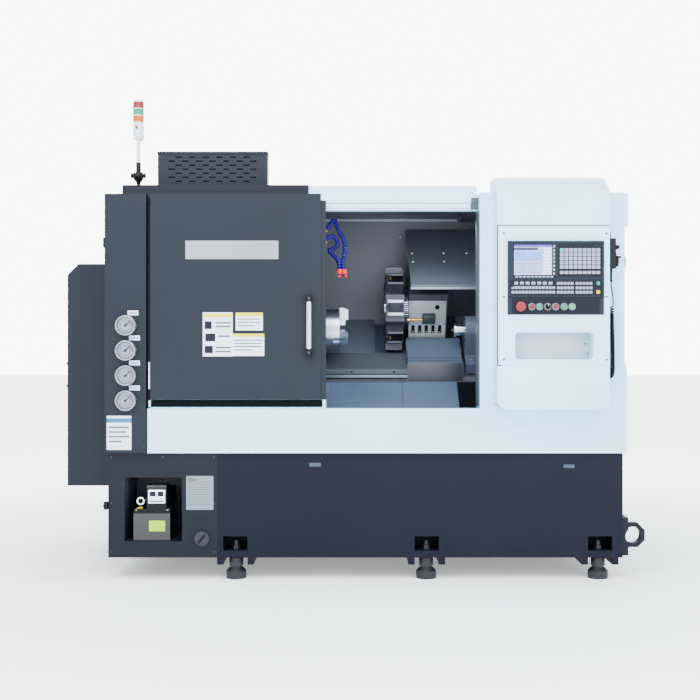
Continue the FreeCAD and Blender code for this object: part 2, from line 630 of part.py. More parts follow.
# Control hood
size(hood_left=639, hood_right=1132, hood_front=-850, hood_bottom=778, hood_slope_z=1740)
size(hood_slope_y=-730, hood_top=1810, hood_roof_back=-600, hood_corner=42)
size(pocket_left=717, pocket_right=1061, pocket_bottom=998, pocket_top=1116, pocket_back=-765)
size(plate_left=643, plate_right=1130, plate_bottom=974, plate_top=1581, plate_thickness=4)
size(unit_left=683.5, unit_right=1104, unit_bottom=1269, unit_top=1515, unit_thickness=9)
size(button_plate_bottom=1193, button_plate_thickness=7, button_z=1228, button_radius=12)
size(bezel_radius=15, bezel_height=6, button_height=7, button_gap=5, stem_radius=8, stem_length=12)
size(stop_x=738.6, stop_radius=21, stop_cap=15, stop_gap=7)
size(button_1_x=788.5, button_2_x=822, mode_x=858, button_3_x=892.5, button_4_x=929, lamp_x=964)
size(mpg_left=1137, mpg_right=1160, mpg_y=-806, mpg_half=42, mpg_bottom=1396, mpg_top=1528)
size(mpg_wheel_z=1431, mpg_wheel_radius=24, mpg_knob_z=1492, mpg_knob_spread=20, mpg_knob_radius=8)
size(mpg_knob_height=17, mpg_shaft_radius=4, mpg_shaft_depth=11, mpg_grip_radius=4.5, mpg_back_half=18)
size(relief_x=1143, relief_y=-826, relief_length=56, relief_radius=6)
# Door
size(door_left=-905, door_right=-137, door_bottom=814.5, door_top=1743, door_back=-672)
size(strip_right=-114, strip_bottom=817, strip_high=1713, strip_front=-704, door_skin=3, rail_gap=4)
size(handle_x=-165, handle_low=1046, handle_high=1252, handle_radius=13, handle_stand=40)


def drive_enclosure():
    """Dark sheet shell: left wall, back and the fixed panel behind the door."""
    back = box(("base_left", "housing_right - wall - fit_gap"), ("enclosure_back - wall", "enclosure_back"),
               ("base_top", "roof_line"))
    left = box(("base_left", "base_left + wall"), ("column_back", "enclosure_back"),
               ("base_top", "roof_line"))
    panel_y = ("panel_back_y", "panel_back_y + panel_skin")
    front = fuse(box(("column_right", "roof_split"), panel_y, ("apron_top", "roof_line")),
                 box(("roof_split - 1", "chamber_left - liner_wall - 1"), panel_y,
                     ("apron_top", "header_bottom - fit_gap")))
    rail = box(("door_left", "roof_split"), ("panel_back_y - rail_gap", "panel_back_y"),
               ("header_rail_top + 4", "header_rail_top + 30"))
    return node("drive_enclosure", group(fuse(back, left), fuse(front, rail), rear_cabinet()))


def gauge_column():
    """Hollow column at the front left, its face level with the door."""
    outer = box(("column_left", "column_right - fit_gap"), ("face_y", "column_back"),
                ("base_top", "column_top"))
    inner = box(("column_left + wall", "column_right - fit_gap - wall"), ("face_y + wall", "column_back + 1"),
                ("base_top + wall", "column_top - wall"))
    node("gauge_column", cut(outer, inner))


def end_cover():
    """Chamfered cover over the rear of the left end, open towards the machine."""
    def shape(inset, right):
        return outline_pad("XZ", [
            (right, f"end_cover_bottom + {inset}"),
            (right, f"end_cover_top - {inset}"),
            (f"end_cover_left + end_cover_chamfer + {inset} * 0.4", f"end_cover_top - {inset}"),
            (f"end_cover_left + {inset}", f"end_cover_top - end_cover_chamfer - {inset} * 0.4"),
            (f"end_cover_left + {inset}", f"end_cover_bottom + {inset}")],
            f"end_cover_back - {inset}", f"end_cover_back - end_cover_front - 2 * {inset}")
    return node("left_end_cover", cut(shape("0", "base_left - fit_gap / 3"), shape("wall", "base_left + 5")))


def roof():
    """Raised roof panel over the drive side with the vent box standing on it."""
    outer = box(("roof_left", "roof_split"), ("roof_front", "enclosure_back"), ("roof_line", "roof_top"))
    inner = box(("roof_left + wall", "roof_split - wall"), ("roof_front + wall", "enclosure_back - wall"),
                ("roof_line - 1", "roof_top - wall"))
    deck = box(("base_left", "roof_split"), ("face_y + 45", "enclosure_back"), ("roof_line", "roof_line + wall"))
    vent = box(("vent_left", "vent_right"), ("vent_front", "vent_back"), ("roof_top", "vent_top"))
    hollow = box(("vent_left + wall", "vent_right - wall"), ("vent_front + wall", "vent_back - wall"),
                 ("roof_top - 1", "vent_top - wall"))
    pitch_x, pitch_z, slot_length, slot_height = 63.6, 18.9, 29.5, 6
    slots = []
    for level in range(7):
        for column in range(6 + level % 2):
            left = f"(vent_left + vent_right) / 2 - {slot_length / 2} + {(column - (5 + level % 2) / 2) * pitch_x}"
            low = f"vent_top - 27 - {level * pitch_z}"
            slots.append(box((left, f"{left} + {slot_length}"), ("vent_front - 1", "vent_front + wall + 1"),
                             (low, f"{low} + {slot_height}")))
    return node("machine_roof", group(fuse(cut(outer, inner), deck), cut(vent, hollow, *slots)))


def door_header():
    """White roof of the work area, sloped at the front, with the door's upper rail."""
    shell = outline_pad("YZ", [
        ("header_front", "header_bottom"), ("header_front", "header_rail_top"),
        ("header_lip_y", "header_rail_top"), ("header_slope_y", "roof_top"),
        ("enclosure_back", "roof_top"), ("enclosure_back", "roof_top - header_thickness"),
        ("header_slope_y + 24", "roof_top - header_thickness"), ("header_lip_y + 40", "header_bottom")],
        "roof_split + fit_gap / 3", "opening_right - roof_split - fit_gap / 3 * 2")
    return node("door_header", shell)


def front_apron():
    """White band below the door, with the sill on its top and a return down the right end."""
    face = box(("apron_left", "apron_right"), ("face_y", "face_y + wall"), ("base_top", "apron_top"))
    sill = box(("apron_left", "apron_right"), ("face_y", "apron_back"), ("apron_top - wall", "apron_top"))
    foot = box(("apron_left", "apron_right"), ("face_y", "apron_back"), ("base_top", "base_top + wall"))
    side = box(("apron_right - wall", "apron_right"), ("face_y", "enclosure_back"), ("base_top", "apron_top"))
    inner = box(("apron_left", "apron_right"), ("apron_back - wall", "apron_back"), ("base_top", "apron_top"))
    rail = box(("door_left", "strip_right"), ("door_back - 26", "door_back - 14"),
               ("apron_top", "door_bottom - fit_gap"))
    return node("front_apron", fuse(face, sill, foot, side, inner, rail))


def right_housing():
    """White sheet housing over the tailstock end, open towards the work area."""
    outer = fuse(box(("opening_right", "housing_right"), ("face_y", "enclosure_back"), ("apron_top", "housing_top")),
                 box(("hood_right", "cap_right"), ("face_y + 12", "enclosure_back"), ("cap_bottom", "housing_top")),
                 box(("hood_right", "skirt_right"), ("face_y", "enclosure_back"), ("apron_top", "skirt_top")))
    inner = box(("opening_right + wall", "housing_right - wall"), ("face_y + wall", "enclosure_back + 1"),
                ("apron_top - 1", "housing_top - wall"))
    mouth = box(("opening_right - 1", "opening_right + wall + 1"), ("jamb_back", "enclosure_back + 1"),
                ("apron_top - 1", "housing_top - wall"))
    return node("right_housing", cut(outer, inner, mouth))


def rear_cabinet():
    """Electrical cabinet hung on the enclosure's back."""
    shell = box(("cabinet_left", "cabinet_right"), ("enclosure_back", "cabinet_back"),
                ("cabinet_bottom", "cabinet_top"))
    inner = box(("cabinet_left + wall", "cabinet_right - wall"), ("enclosure_back - 1", "cabinet_back - wall"),
                ("cabinet_bottom + wall", "cabinet_top - wall"))
    return cut(shell, inner)


def chamber():
    """Chamber's left wall with the spindle's hole, its back wall, and the sloping chute."""
    v = [("shelf_v", "shelf_w"), ("shelf_end_v", "shelf_w"), ("shelf_end_v", "way_seat_w"),
         ("bed_top_v", "way_seat_w")]
    steps = [(slant_y(*point), slant_z(*point)) for point in v]
    steps = [(steps[0][0] + " - fit_gap", "chute_low_z"),
             (steps[0][0] + " - fit_gap", steps[0][1] + " + fit_gap"),
             (steps[1][0] + " + fit_gap", steps[1][1] + " + fit_gap"),
             (steps[2][0] + " + fit_gap", steps[2][1] + " + fit_gap"),
             (steps[3][0], steps[3][1] + " + fit_gap"),
             ("liner_back", steps[3][1] + " + fit_gap")]
    side = outline_pad("YZ", steps + [("liner_back", "roof_line"), ("header_slope_y + 24", "roof_line"),
                                      ("header_lip_y + 44", "header_bottom - fit_gap"),
                                      ("apron_back", "header_bottom - fit_gap"),
                                      ("apron_back", "chute_low_z")],
                       "chamber_left - liner_wall", "liner_wall")
    hole = rod("x", ("chamber_left - liner_wall - 1", "spindle_y", "spindle_z"),
               "nose_radius + nose_clearance", "liner_wall + 2")
    back = box(("chamber_left - liner_wall", "bed_right"), ("liner_back", "liner_back + liner_wall"),
               (slant_z("bed_top_v", "way_seat_w") + " + fit_gap / 3", "roof_line"))
    high_y = slant_y("shelf_v", "shelf_w") + " - fit_gap / 3"
    chute = outline_pad("YZ", [
        ("apron_back + fit_gap / 3", "chute_low_z"), (high_y, "chute_high_z - liner_wall"),
        (high_y, "chute_high_z"), ("apron_back + fit_gap / 3", "chute_low_z + liner_wall")],
        "chamber_left + fit_gap", "bed_right - chamber_left - fit_gap * 2")
    return node("chamber_liner", group(cut(side, hole), back, chute, *way_sheets()))


def control_box():
    """Hood over the controls: sloped top, rounded lower corners and a tray behind the pocket."""
    def side(inset, back):
        return outline_pad("YZ", [
            (f"hood_front + {inset}", f"hood_bottom + {inset}"),
            (f"hood_front + {inset}", f"hood_slope_z - {inset} / 2"),
            (f"hood_slope_y + {inset} / 2", f"hood_top - {inset}"),
            (f"hood_roof_back - {inset}", f"hood_top - {inset}"),
            (f"hood_roof_back - {inset}", f"housing_top + fit_gap / 3 + {inset}"),
            (back, f"housing_top + fit_gap / 3 + {inset}"),
            (back, f"hood_bottom + {inset}")],
            f"hood_left + {inset}", f"hood_right - hood_left - 2 * {inset}")
    outer = side("0", "face_y - fit_gap / 3")
    inner = side("wall", "face_y + 5")
    corners = []
    for corner_x, centre_x in (("hood_left", "hood_left + hood_corner"),
                               ("hood_right - hood_corner", "hood_right - hood_corner")):
        square = box((corner_x, f"{corner_x} + hood_corner"), ("hood_front - 1", "face_y + 1"),
                     ("hood_bottom - 1", "hood_bottom + hood_corner"))
        keep = rod("y", (centre_x, "hood_front - 2", "hood_bottom + hood_corner"), "hood_corner",
                   "face_y - hood_front + 4")
        corners.append(cut(square, keep))
    tray = box(("pocket_left - panel_skin", "pocket_right + panel_skin"), ("hood_front", "pocket_back + panel_skin"),
               ("pocket_bottom - panel_skin", "pocket_top + panel_skin"))
    mouth = box(("pocket_left", "pocket_right"), ("hood_front - 1", "pocket_back"),
                ("pocket_bottom", "pocket_top"))
    window = box(("stop_x - stop_radius - 8", "lamp_x + stop_radius + 8"), ("hood_front - 1", "hood_front + wall + 1"),
                 ("button_z - stop_radius - 5", "button_z + stop_radius + 5"))
    return node("control_box", cut(fuse(cut(outer, inner), tray), mouth, window, *corners))


def control_panel():
    """Screwed plate over the hood's front, the control unit and the button plate on it."""
    plate = box(("plate_left", "plate_right"), ("hood_front - fit_gap / 3 - plate_thickness", "hood_front - fit_gap / 3"),
                ("plate_bottom", "plate_top"))
    mouth = box(("pocket_left", "pocket_right"), ("hood_front - plate_thickness * 2", "hood_front + 1"),
                ("pocket_bottom", "pocket_top"))
    stems = [rod("y", (x, "hood_front - 20", "button_z"), "stem_radius + 4", 30) for x in CONTROL_X]
    node("control_panel", cut(plate, mouth, *stems))
    face = "hood_front - plate_thickness - fit_gap / 3 * 2"
    unit = box(("unit_left", "unit_right"), (f"{face} - unit_thickness", face),
               ("unit_bottom", "unit_top"))
    screen = box(("unit_left + 25", "unit_left + 208"), (f"{face} - unit_thickness - 1", f"{face} - unit_thickness + 2"),
                 ("unit_bottom + 84", "unit_top - 16"))
    node("control_unit", cut(unit, screen))
    low = box(("unit_left", "unit_right"), (f"{face} - button_plate_thickness", face),
              ("button_plate_bottom", "unit_bottom - fit_gap"))
    bezels = [rod("y", (x, f"{face} - button_plate_thickness - bezel_height", "button_z"), "bezel_radius",
                  "bezel_height + 1") for x in CONTROL_X[1:]]
    wells = [rod("y", (x, f"{face} - button_plate_thickness - bezel_height - 1", "button_z"),
                 "button_radius + fit_gap", "bezel_height + 1") for x in CONTROL_X[1:]]
    holes = [rod("y", (x, f"{face} - button_plate_thickness - 20", "button_z"), "stem_radius + fit_gap / 3", 40)
             for x in CONTROL_X[:-1]]
    node("button_plate", cut(fuse(low, *bezels), *wells, *holes))


CONTROL_X = ("stop_x", "button_1_x", "button_2_x", "mode_x", "button_3_x", "button_4_x", "lamp_x")


def push_buttons():
    """Mushroom stop, four push buttons and mode switch, each on a stem through the plate."""
    plate_face = "hood_front - plate_thickness - fit_gap / 3 * 2 - button_plate_thickness"

    def control(name, x, radius, gap, height):
        cap = rod("y", (x, f"{plate_face} - ({gap}) - {height}", "button_z"), radius, height)
        stem = rod("y", (x, f"{plate_face} - ({gap}) - 1", "button_z"), "stem_radius",
                   f"{gap} + stem_length")
        return cap, stem
    node("emergency_stop", fuse(*control("stop", "stop_x", "stop_radius", "stop_gap", "stop_cap")))
    for number in range(1, 5):
        node(f"push_button_{number}", fuse(*control(number, f"button_{number}_x", "button_radius",
                                                    "button_gap", "button_height")))
    grip = box(("mode_x - 3.5", "mode_x + 3.5"), (f"{plate_face} - 22", f"{plate_face} - 8"),
               ("button_z - 11", "button_z + 11"))
    node("mode_switch", fuse(*control("mode", "mode_x", "button_radius", "fit_gap + 0.5", 9), grip))


# Small outfits
size(gauge_x=-1013, gauge_low_z=811, gauge_pitch=112.7, gauge_radius=45, gauge_depth=26)
size(gauge_dial_depth=8, needle_length=27, needle_width=3.2, needle_pin_radius=2.2)
size(tower_x=-998, tower_y=-500, tower_base_top=1872, tower_pivot_z=1856, tower_pole_radius=9)
size(tower_radius=25, tower_body_z=2026, tower_top=2210, tower_pin_radius=6, tower_cheek=10)
size(tank_left=-988, tank_right=-822, tank_front=-672, tank_back=-552, tank_height=131)
size(pump_left=-928, pump_right=-840, pump_front=-664, pump_back=-560, pump_height=118)
size(dial_x=-956, dial_z=353, dial_radius=17)
size(manifold_width=30, manifold_y=-450, manifold_bottom=1480, manifold_top=1645, hose_radius=8)
size(coil_radius=12, lead_radius=3, coil_x=1146, coil_front_y=-828, coil_back_y=-732, coil_lean=3)
size(coil_top=1232, gland_bottom=1178, gland_top=1216, coil_bottom=911)


def hand_pulse_unit():
    """Pendant on the hood's side: case, wheel with its grip, and two small knobs, facing sideways."""
    back = box(("hood_right + fit_gap / 3", "mpg_left + 6"),
               ("mpg_y - mpg_back_half", "mpg_y + mpg_back_half"), ("mpg_bottom + 20", "mpg_top + 25"))
    case = box(("mpg_left", "mpg_right"), ("mpg_y - mpg_half", "mpg_y + mpg_half"),
               ("mpg_bottom", "mpg_top"))
    relief = taper("z", ("relief_x", "relief_y", "mpg_bottom - relief_length"),
                   "lead_radius + 1.5", "relief_radius", "relief_length + 1")
    shafts = [("mpg_wheel", "mpg_y", "mpg_wheel_z", "mpg_wheel_radius"),
              ("mpg_step_knob", "mpg_y - mpg_knob_spread", "mpg_knob_z", "mpg_knob_radius"),
              ("mpg_axis_knob", "mpg_y + mpg_knob_spread", "mpg_knob_z", "mpg_knob_radius")]
    holes = [rod("x", ("mpg_right - mpg_shaft_depth - 1", y, z), "mpg_shaft_radius + running_fit",
                 "mpg_shaft_depth + 2") for _, y, z, _ in shafts]
    node("mpg_case", cut(fuse(back, case, relief), *holes))
    for name, y, z, radius in shafts:
        cap = rod("x", ("mpg_right + fit_gap", y, z), radius, "mpg_knob_height")
        pin = rod("x", ("mpg_right - mpg_shaft_depth", y, z), "mpg_shaft_radius", "mpg_shaft_depth + 1")
        if name == "mpg_wheel":
            grip = rod("x", ("mpg_right + fit_gap + 1", y, f"{z} + mpg_wheel_radius - mpg_grip_radius - 1"),
                       "mpg_grip_radius", "mpg_knob_height + 13")
        else:
            grip = box(("mpg_right + mpg_knob_height - 1", "mpg_right + mpg_knob_height + 3"),
                       (f"{y} - 2", f"{y} + 2"), (f"{z} - 7.5", f"{z} + 7.5"))
        node(name, fuse(cap, pin, grip))


def curly_cord():
    """Thin lead from the pendant, then the coil hanging in a loop back up to its gland."""
    value = ALIASES
    x, front, back = value["coil_x"], value["coil_front_y"], value["coil_back_y"]
    leaned = x + value["coil_lean"]
    low = value["coil_bottom"] + value["coil_radius"]
    bend = (back - front) / 2
    corner = bend * math.tan(math.radians(22.5))
    start = value["mpg_bottom"] - value["relief_length"]
    lead = [(value["relief_x"], value["relief_y"], start), (value["relief_x"], value["relief_y"], start - 22),
            (x + 5, front, 1276), (x + 6, front, value["coil_top"])]
    node("cord_lead", drawn(tube(lead, value["lead_radius"])))
    coil = [(x, front, value["coil_top"]), (x, front, 1172), (x + 0.5, front - 4, 1105),
            (x + 1.5, front - 3, 1046), (x + 2.5, front, 998), (leaned, front, low + bend - corner),
            (leaned, front + bend - corner, low), (leaned, back - bend + corner, low),
            (leaned, back, low + bend - corner), (x + 2.5, back + 2, 1000), (x + 1.5, back + 3, 1052),
            (x, back, 1112), (x, back, value["gland_bottom"])]
    node("curly_cord", drawn(tube(coil, value["coil_radius"])))
    body = box(("hood_right + fit_gap / 3", "coil_x + coil_radius"), ("coil_back_y - 12", "coil_back_y + 12"),
               ("gland_bottom", "gland_top"))
    node("cord_gland", body)


def door():
    """Sheet door folded forward on its right edge, and its upright handle on two mounts."""
    outer = fuse(box(("door_left", "door_right"), ("face_y", "door_back"), ("door_bottom", "door_top")),
                 box(("door_right - 1", "strip_right"), ("strip_front", "door_back"),
                     ("strip_bottom", "strip_high")))
    inner = box(("door_left + door_skin", "strip_right - door_skin"), ("face_y + door_skin + 6", "door_back + 1"),
                ("strip_bottom + door_skin", "strip_high - door_skin"))
    node("door_panel", cut(outer, inner))
    stand_y = "face_y - handle_stand"
    bar = rod("z", ("handle_x - 24", stand_y, "handle_low"), "handle_radius", "handle_high - handle_low")
    mounts = [box(("handle_x - 37", "handle_x - 11"), (f"{stand_y} - 13", "face_y - fit_gap / 3"),
                  (low, high))
              for low, high in (("handle_low - 38", "handle_low"), ("handle_high", "handle_high + 34"))]
    node("door_handle", fuse(bar, *mounts))


def gauges():
    """Four pressure gauges: cases on the column's face and needles on their pins."""
    cases = []
    for number in range(4):
        z = f"(gauge_low_z + {number} * gauge_pitch)"
        case = rod("y", ("gauge_x", "face_y - gauge_depth", z), "gauge_radius", "gauge_depth - fit_gap / 3")
        dish = rod("y", ("gauge_x", "face_y - gauge_depth - 1", z), "gauge_radius - 5", "gauge_dial_depth + 1")
        hole = rod("y", ("gauge_x", "face_y - gauge_depth", z), "needle_pin_radius + running_fit", 14)
        cases.append(cut(case, dish, hole))
        pin = rod("y", ("gauge_x", "face_y - gauge_depth + 2", z), "needle_pin_radius", 11)
        hand = leaned_hand(z)
        node(f"gauge_needle_{number + 1}", fuse(pin, hand))
    node("gauge_cases", group(*cases))


def leaned_hand(z):
    """A needle pointing up and to the right at rest."""
    hand = box(("gauge_x", "gauge_x"), ("face_y - gauge_depth + 3", "face_y - gauge_depth + 4.6"), (z, z))
    bind(hand, "Length", "needle_width")
    bind(hand, "Height", "needle_length + 8")
    rotation = FreeCAD.Rotation(FreeCAD.Vector(0, 1, 0), 45)
    return place(hand, "gauge_x - needle_width / 2 * cos(45) - 8 * sin(45)", "face_y - gauge_depth + 3",
                 f"{z} + needle_width / 2 * sin(45) - 8 * cos(45)", rotation)


def tower():
    """Fold-down light: base with two cheeks and a cross pin, pole and stacked light."""
    foot = rod("z", ("tower_x", "tower_y", "roof_top + fit_gap / 3"), 34, 12)
    cheeks = [box((left, f"{left} + tower_cheek"), ("tower_y - 17", "tower_y + 17"),
                  ("roof_top + 10", "tower_base_top"))
              for left in ("tower_x - 13 - tower_cheek", "tower_x + 13")]
    holes = rod("x", ("tower_x - 40", "tower_y", "tower_pivot_z"), "tower_pin_radius + running_fit", 80)
    neck = rod("z", ("tower_x", "tower_y", "roof_top + 10"), 12.5, "tower_pivot_z - roof_top - 27")
    node("tower_base", cut(fuse(foot, neck, *cheeks), holes))
    pin = rod("x", ("tower_x - 27", "tower_y", "tower_pivot_z"), "tower_pin_radius", 54)
    knuckle = rod("x", ("tower_x - 12.5", "tower_y", "tower_pivot_z"), 16, 25)
    knobs = [rod("x", (left, "tower_y", "tower_pivot_z"), 12, 9) for left in ("tower_x - 35", "tower_x + 26")]
    sleeve = rod("z", ("tower_x", "tower_y", "tower_pivot_z"), 11.5, 62)
    pole = rod("z", ("tower_x", "tower_y", "tower_pivot_z + 60"), "tower_pole_radius",
               "tower_body_z - tower_pivot_z - 59")
    stack = rod("z", ("tower_x", "tower_y", "tower_body_z"), "tower_radius", "tower_top - tower_body_z")
    node("tower_light", fuse(pin, knuckle, *knobs, sleeve, pole, stack))


def lubrication():
    """Clear tank on the recess's floor with the pump head on top and its small dial."""
    tank = box(("tank_left", "tank_right"), ("tank_front", "tank_back"),
               ("recess_bottom + fit_gap / 3", "recess_bottom + tank_height"))
    hollow = box(("tank_left + wall", "tank_right - wall"), ("tank_front + wall", "tank_back - wall"),
                 ("recess_bottom + wall * 2", "recess_bottom + tank_height - wall"))
    node("lube_tank", cut(tank, hollow))
    top = "recess_bottom + tank_height + fit_gap / 3"
    head = box(("pump_left", "pump_right"), ("pump_front", "pump_back"), (top, f"{top} + pump_height"))
    shelf = box(("tank_left", "tank_right"), ("tank_front + 6", "tank_back - 6"), (top, f"{top} + 12"))
    bracket = box(("pump_left", "pump_right"), ("pump_back - 1", "base_front + recess_depth - fit_gap / 3"),
                  (f"{top} + 20", f"{top} + 90"))
    stub = rod("x", ("dial_x", "tank_front + 30", "dial_z"), 6, "pump_left - dial_x + 1")
    dial = rod("y", ("dial_x", "tank_front + 4", "dial_z"), "dial_radius", 34)
    node("lube_pump", fuse(head, shelf, bracket, stub, dial))


def coolant_hoses():
    """Two jointed hoses that keep their bend, out of a block on the chamber's side wall."""
    block = box(("chamber_left", "chamber_left + manifold_width"), ("manifold_y - 25", "manifold_y + 25"),
                ("manifold_bottom", "manifold_top"))
    out = ALIASES["chamber_left"] + ALIASES["manifold_width"]
    y = ALIASES["manifold_y"]
    upper = [(out, y, 1606), (-102, y, 1606), (-80, y - 2, 1640), (-58, y - 4, 1608), (-42, y - 6, 1574),
             (-25, y - 8, 1540), (-29, y - 9, 1502), (-38, y - 10, 1464), (-34, y - 10, 1424),
             (-24, y - 10, 1393)]
    lower = [(out, y, 1552), (-104, y, 1552), (-80, y + 14, 1574), (-57, y + 16, 1550),
             (-76, y + 14, 1520), (-92, y + 4, 1498), (-72, y - 6, 1476), (-59, y - 8, 1444),
             (-55, y - 9, 1412), (-57, y - 9, 1393)]
    hoses = [drawn(tube(route, ALIASES["hose_radius"])) for route in (upper, lower)]
    return node("coolant_hoses", group(block, *hoses))


def main():
    base_frame()
    service_housing()
    levelling_feet()
    lifting_lugs()
    slant_bed()
    headstock()
    spindle()
    chuck_body()
    chuck_jaws()
    spindle_rear()
    drive_belt()
    spindle_motor()
    motor_pulley()
    saddle()
    way_cover()
    carriage_guard()
    cross_slide()
    turret_disc()
    tailstock()
    drive_enclosure()
    gauge_column()
    end_cover()
    roof()
    door_header()
    front_apron()
    right_housing()
    chamber()
    control_box()
    control_panel()
    push_buttons()
    hand_pulse_unit()
    curly_cord()
    door()
    gauges()
    tower()
    lubrication()
    coolant_hoses()
    doc.recompute()
    failed = [thing.Label for thing in doc.Objects if {"Invalid", "Error"} & set(thing.State)]
    failed += [thing.Label for thing in NODES if thing.Shape.isNull() or not thing.Shape.isValid()]
    if failed:
        raise SystemExit(f"failed: {failed}")
    labels = [thing.Label for thing in NODES]
    if len(set(labels)) != len(labels):
        raise SystemExit("two sub-parts share a label")
    os.makedirs("parts", exist_ok=True)
    for thing in NODES:
        thing.Shape.exportStep(f"parts/{thing.Label}.step")
    print(len(NODES), "sub-parts")


main()
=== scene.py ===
import itertools
import math

import bmesh
import bpy
from mathutils import Matrix, Vector


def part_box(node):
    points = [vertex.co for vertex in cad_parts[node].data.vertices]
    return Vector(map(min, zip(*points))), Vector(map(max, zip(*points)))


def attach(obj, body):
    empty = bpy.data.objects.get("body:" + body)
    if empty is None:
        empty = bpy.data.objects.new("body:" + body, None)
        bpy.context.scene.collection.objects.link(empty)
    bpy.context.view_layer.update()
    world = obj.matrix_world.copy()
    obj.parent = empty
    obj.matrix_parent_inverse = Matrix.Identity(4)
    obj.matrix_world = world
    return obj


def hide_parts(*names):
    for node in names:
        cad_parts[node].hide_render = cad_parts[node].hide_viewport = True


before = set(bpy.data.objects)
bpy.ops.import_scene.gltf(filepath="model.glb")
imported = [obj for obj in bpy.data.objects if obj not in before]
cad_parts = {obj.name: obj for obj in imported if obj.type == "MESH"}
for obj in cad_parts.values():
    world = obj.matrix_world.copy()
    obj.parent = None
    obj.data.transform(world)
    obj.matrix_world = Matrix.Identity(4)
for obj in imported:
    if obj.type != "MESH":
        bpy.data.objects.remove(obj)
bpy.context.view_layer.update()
MM = 0.001          # shapes are given in millimetres; lamps and the camera in metres


# --- the stage -------------------------------------------------------------------------------

CAMERA_BACK = 5.0          # from the door's face, in metres
CAMERA_X, CAMERA_Z = -0.0054, 1.0386
FOCAL_LENGTH, SENSOR_WIDTH = 57.1, 36


def linked(name, data):
    """A new object in the scene."""
    made = bpy.data.objects.new(name, data)
    bpy.context.scene.collection.objects.link(made)
    return made


def make_camera():
    """Straight in front of the machine, level, a long way back."""
    data = bpy.data.cameras.new("camera")
    data.lens = FOCAL_LENGTH
    data.sensor_width = SENSOR_WIDTH
    camera = linked("camera", data)
    camera.location = (CAMERA_X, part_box("door_panel")[0].y - CAMERA_BACK, CAMERA_Z)
    camera.rotation_euler = (math.radians(90), 0, 0)
    bpy.context.scene.camera = camera


def make_light(name, place, aim, size, power):
    """A rectangular lamp of a size in metres, aimed at a point, that the camera doesn't see."""
    data = bpy.data.lights.new(name, "AREA")
    data.shape = "RECTANGLE"
    data.size, data.size_y = size
    data.energy = power
    light = linked(name, data)
    light.location = place
    light.rotation_euler = (Vector(aim) - Vector(place)).to_track_quat("-Z", "Y").to_euler()
    light.visible_camera = False


def light_studio():
    """A white room: big soft panels high in front, a lamp in the work area, a pale surround."""
    make_light("key", (-1.3, -4.2, 4.3), (-0.2, -0.7, 1.3), (4.4, 2.2), 340)
    make_light("fill", (2.6, -5.2, 2.6), (0.2, -0.5, 1.0), (3.4, 2.6), 130)
    make_light("top", (0, 0.2, 5.0), (0, 0, 1), (5, 4), 260)
    make_light("back", (0, 5.0, 3.0), (0, 0, 1.2), (5, 3), 180)
    make_light("work lamp", (0.26, -0.62, 1.62), (0.2, -0.1, 1.05), (0.7, 0.08), 3.5)
    make_light("recess lamp", (-0.91, -0.69, 0.455), (-0.91, -0.55, 0.2), (0.2, 0.04), 1.4)
    make_light("work glow", (0.28, -1.7, 1.35), (0.22, -0.2, 1.1), (0.5, 0.5), 5)
    world = bpy.data.worlds.new("studio")
    world.use_nodes = True
    tree = world.node_tree
    room = tree.nodes["Background"]
    room.inputs["Color"].default_value = (0.94, 0.975, 1, 1)
    room.inputs["Strength"].default_value = 2.4
    sheet = add(tree, "ShaderNodeBackground", {"Color": (1, 1, 1, 1), "Strength": 9.0})
    path = add(tree, "ShaderNodeLightPath")
    seen = add(tree, "ShaderNodeMixShader", None, {"Fac": path.outputs["Is Camera Ray"]})
    tree.links.new(room.outputs["Background"], seen.inputs[1])
    tree.links.new(sheet.outputs["Background"], seen.inputs[2])
    tree.links.new(seen.outputs["Shader"], tree.nodes["World Output"].inputs["Surface"])
    bpy.context.scene.world = world


# --- materials -------------------------------------------------------------------------------

def linear(hex_colour):
    """An sRGB hex colour as linear RGBA."""
    parts = [int(hex_colour[i:i + 2], 16) / 255 for i in (1, 3, 5)]
    return [part / 12.92 if part <= 0.04045 else ((part + 0.055) / 1.055) ** 2.4
            for part in parts] + [1.0]


def add(tree, kind, inputs=None, links=None, **settings):
    """Add a node, set its properties and sockets, and link sockets by name."""
    made = tree.nodes.new(kind)
    for key, value in settings.items():
        setattr(made, key, value)
    for key, value in (inputs or {}).items():
        made.inputs[key].default_value = value
    for key, source in (links or {}).items():
        tree.links.new(source, made.inputs[key])
    return made


def new_material(name, hex_colour, metallic, roughness):
    """A Principled material with its constants on the shader's own sockets."""
    made = bpy.data.materials.new(name)
    made.use_nodes = True
    shader = made.node_tree.nodes["Principled BSDF"]
    shader.inputs["Base Color"].default_value = linear(hex_colour)
    shader.inputs["Metallic"].default_value = metallic
    shader.inputs["Roughness"].default_value = roughness
    made.diffuse_color = linear(hex_colour)
    return made, made.node_tree, shader


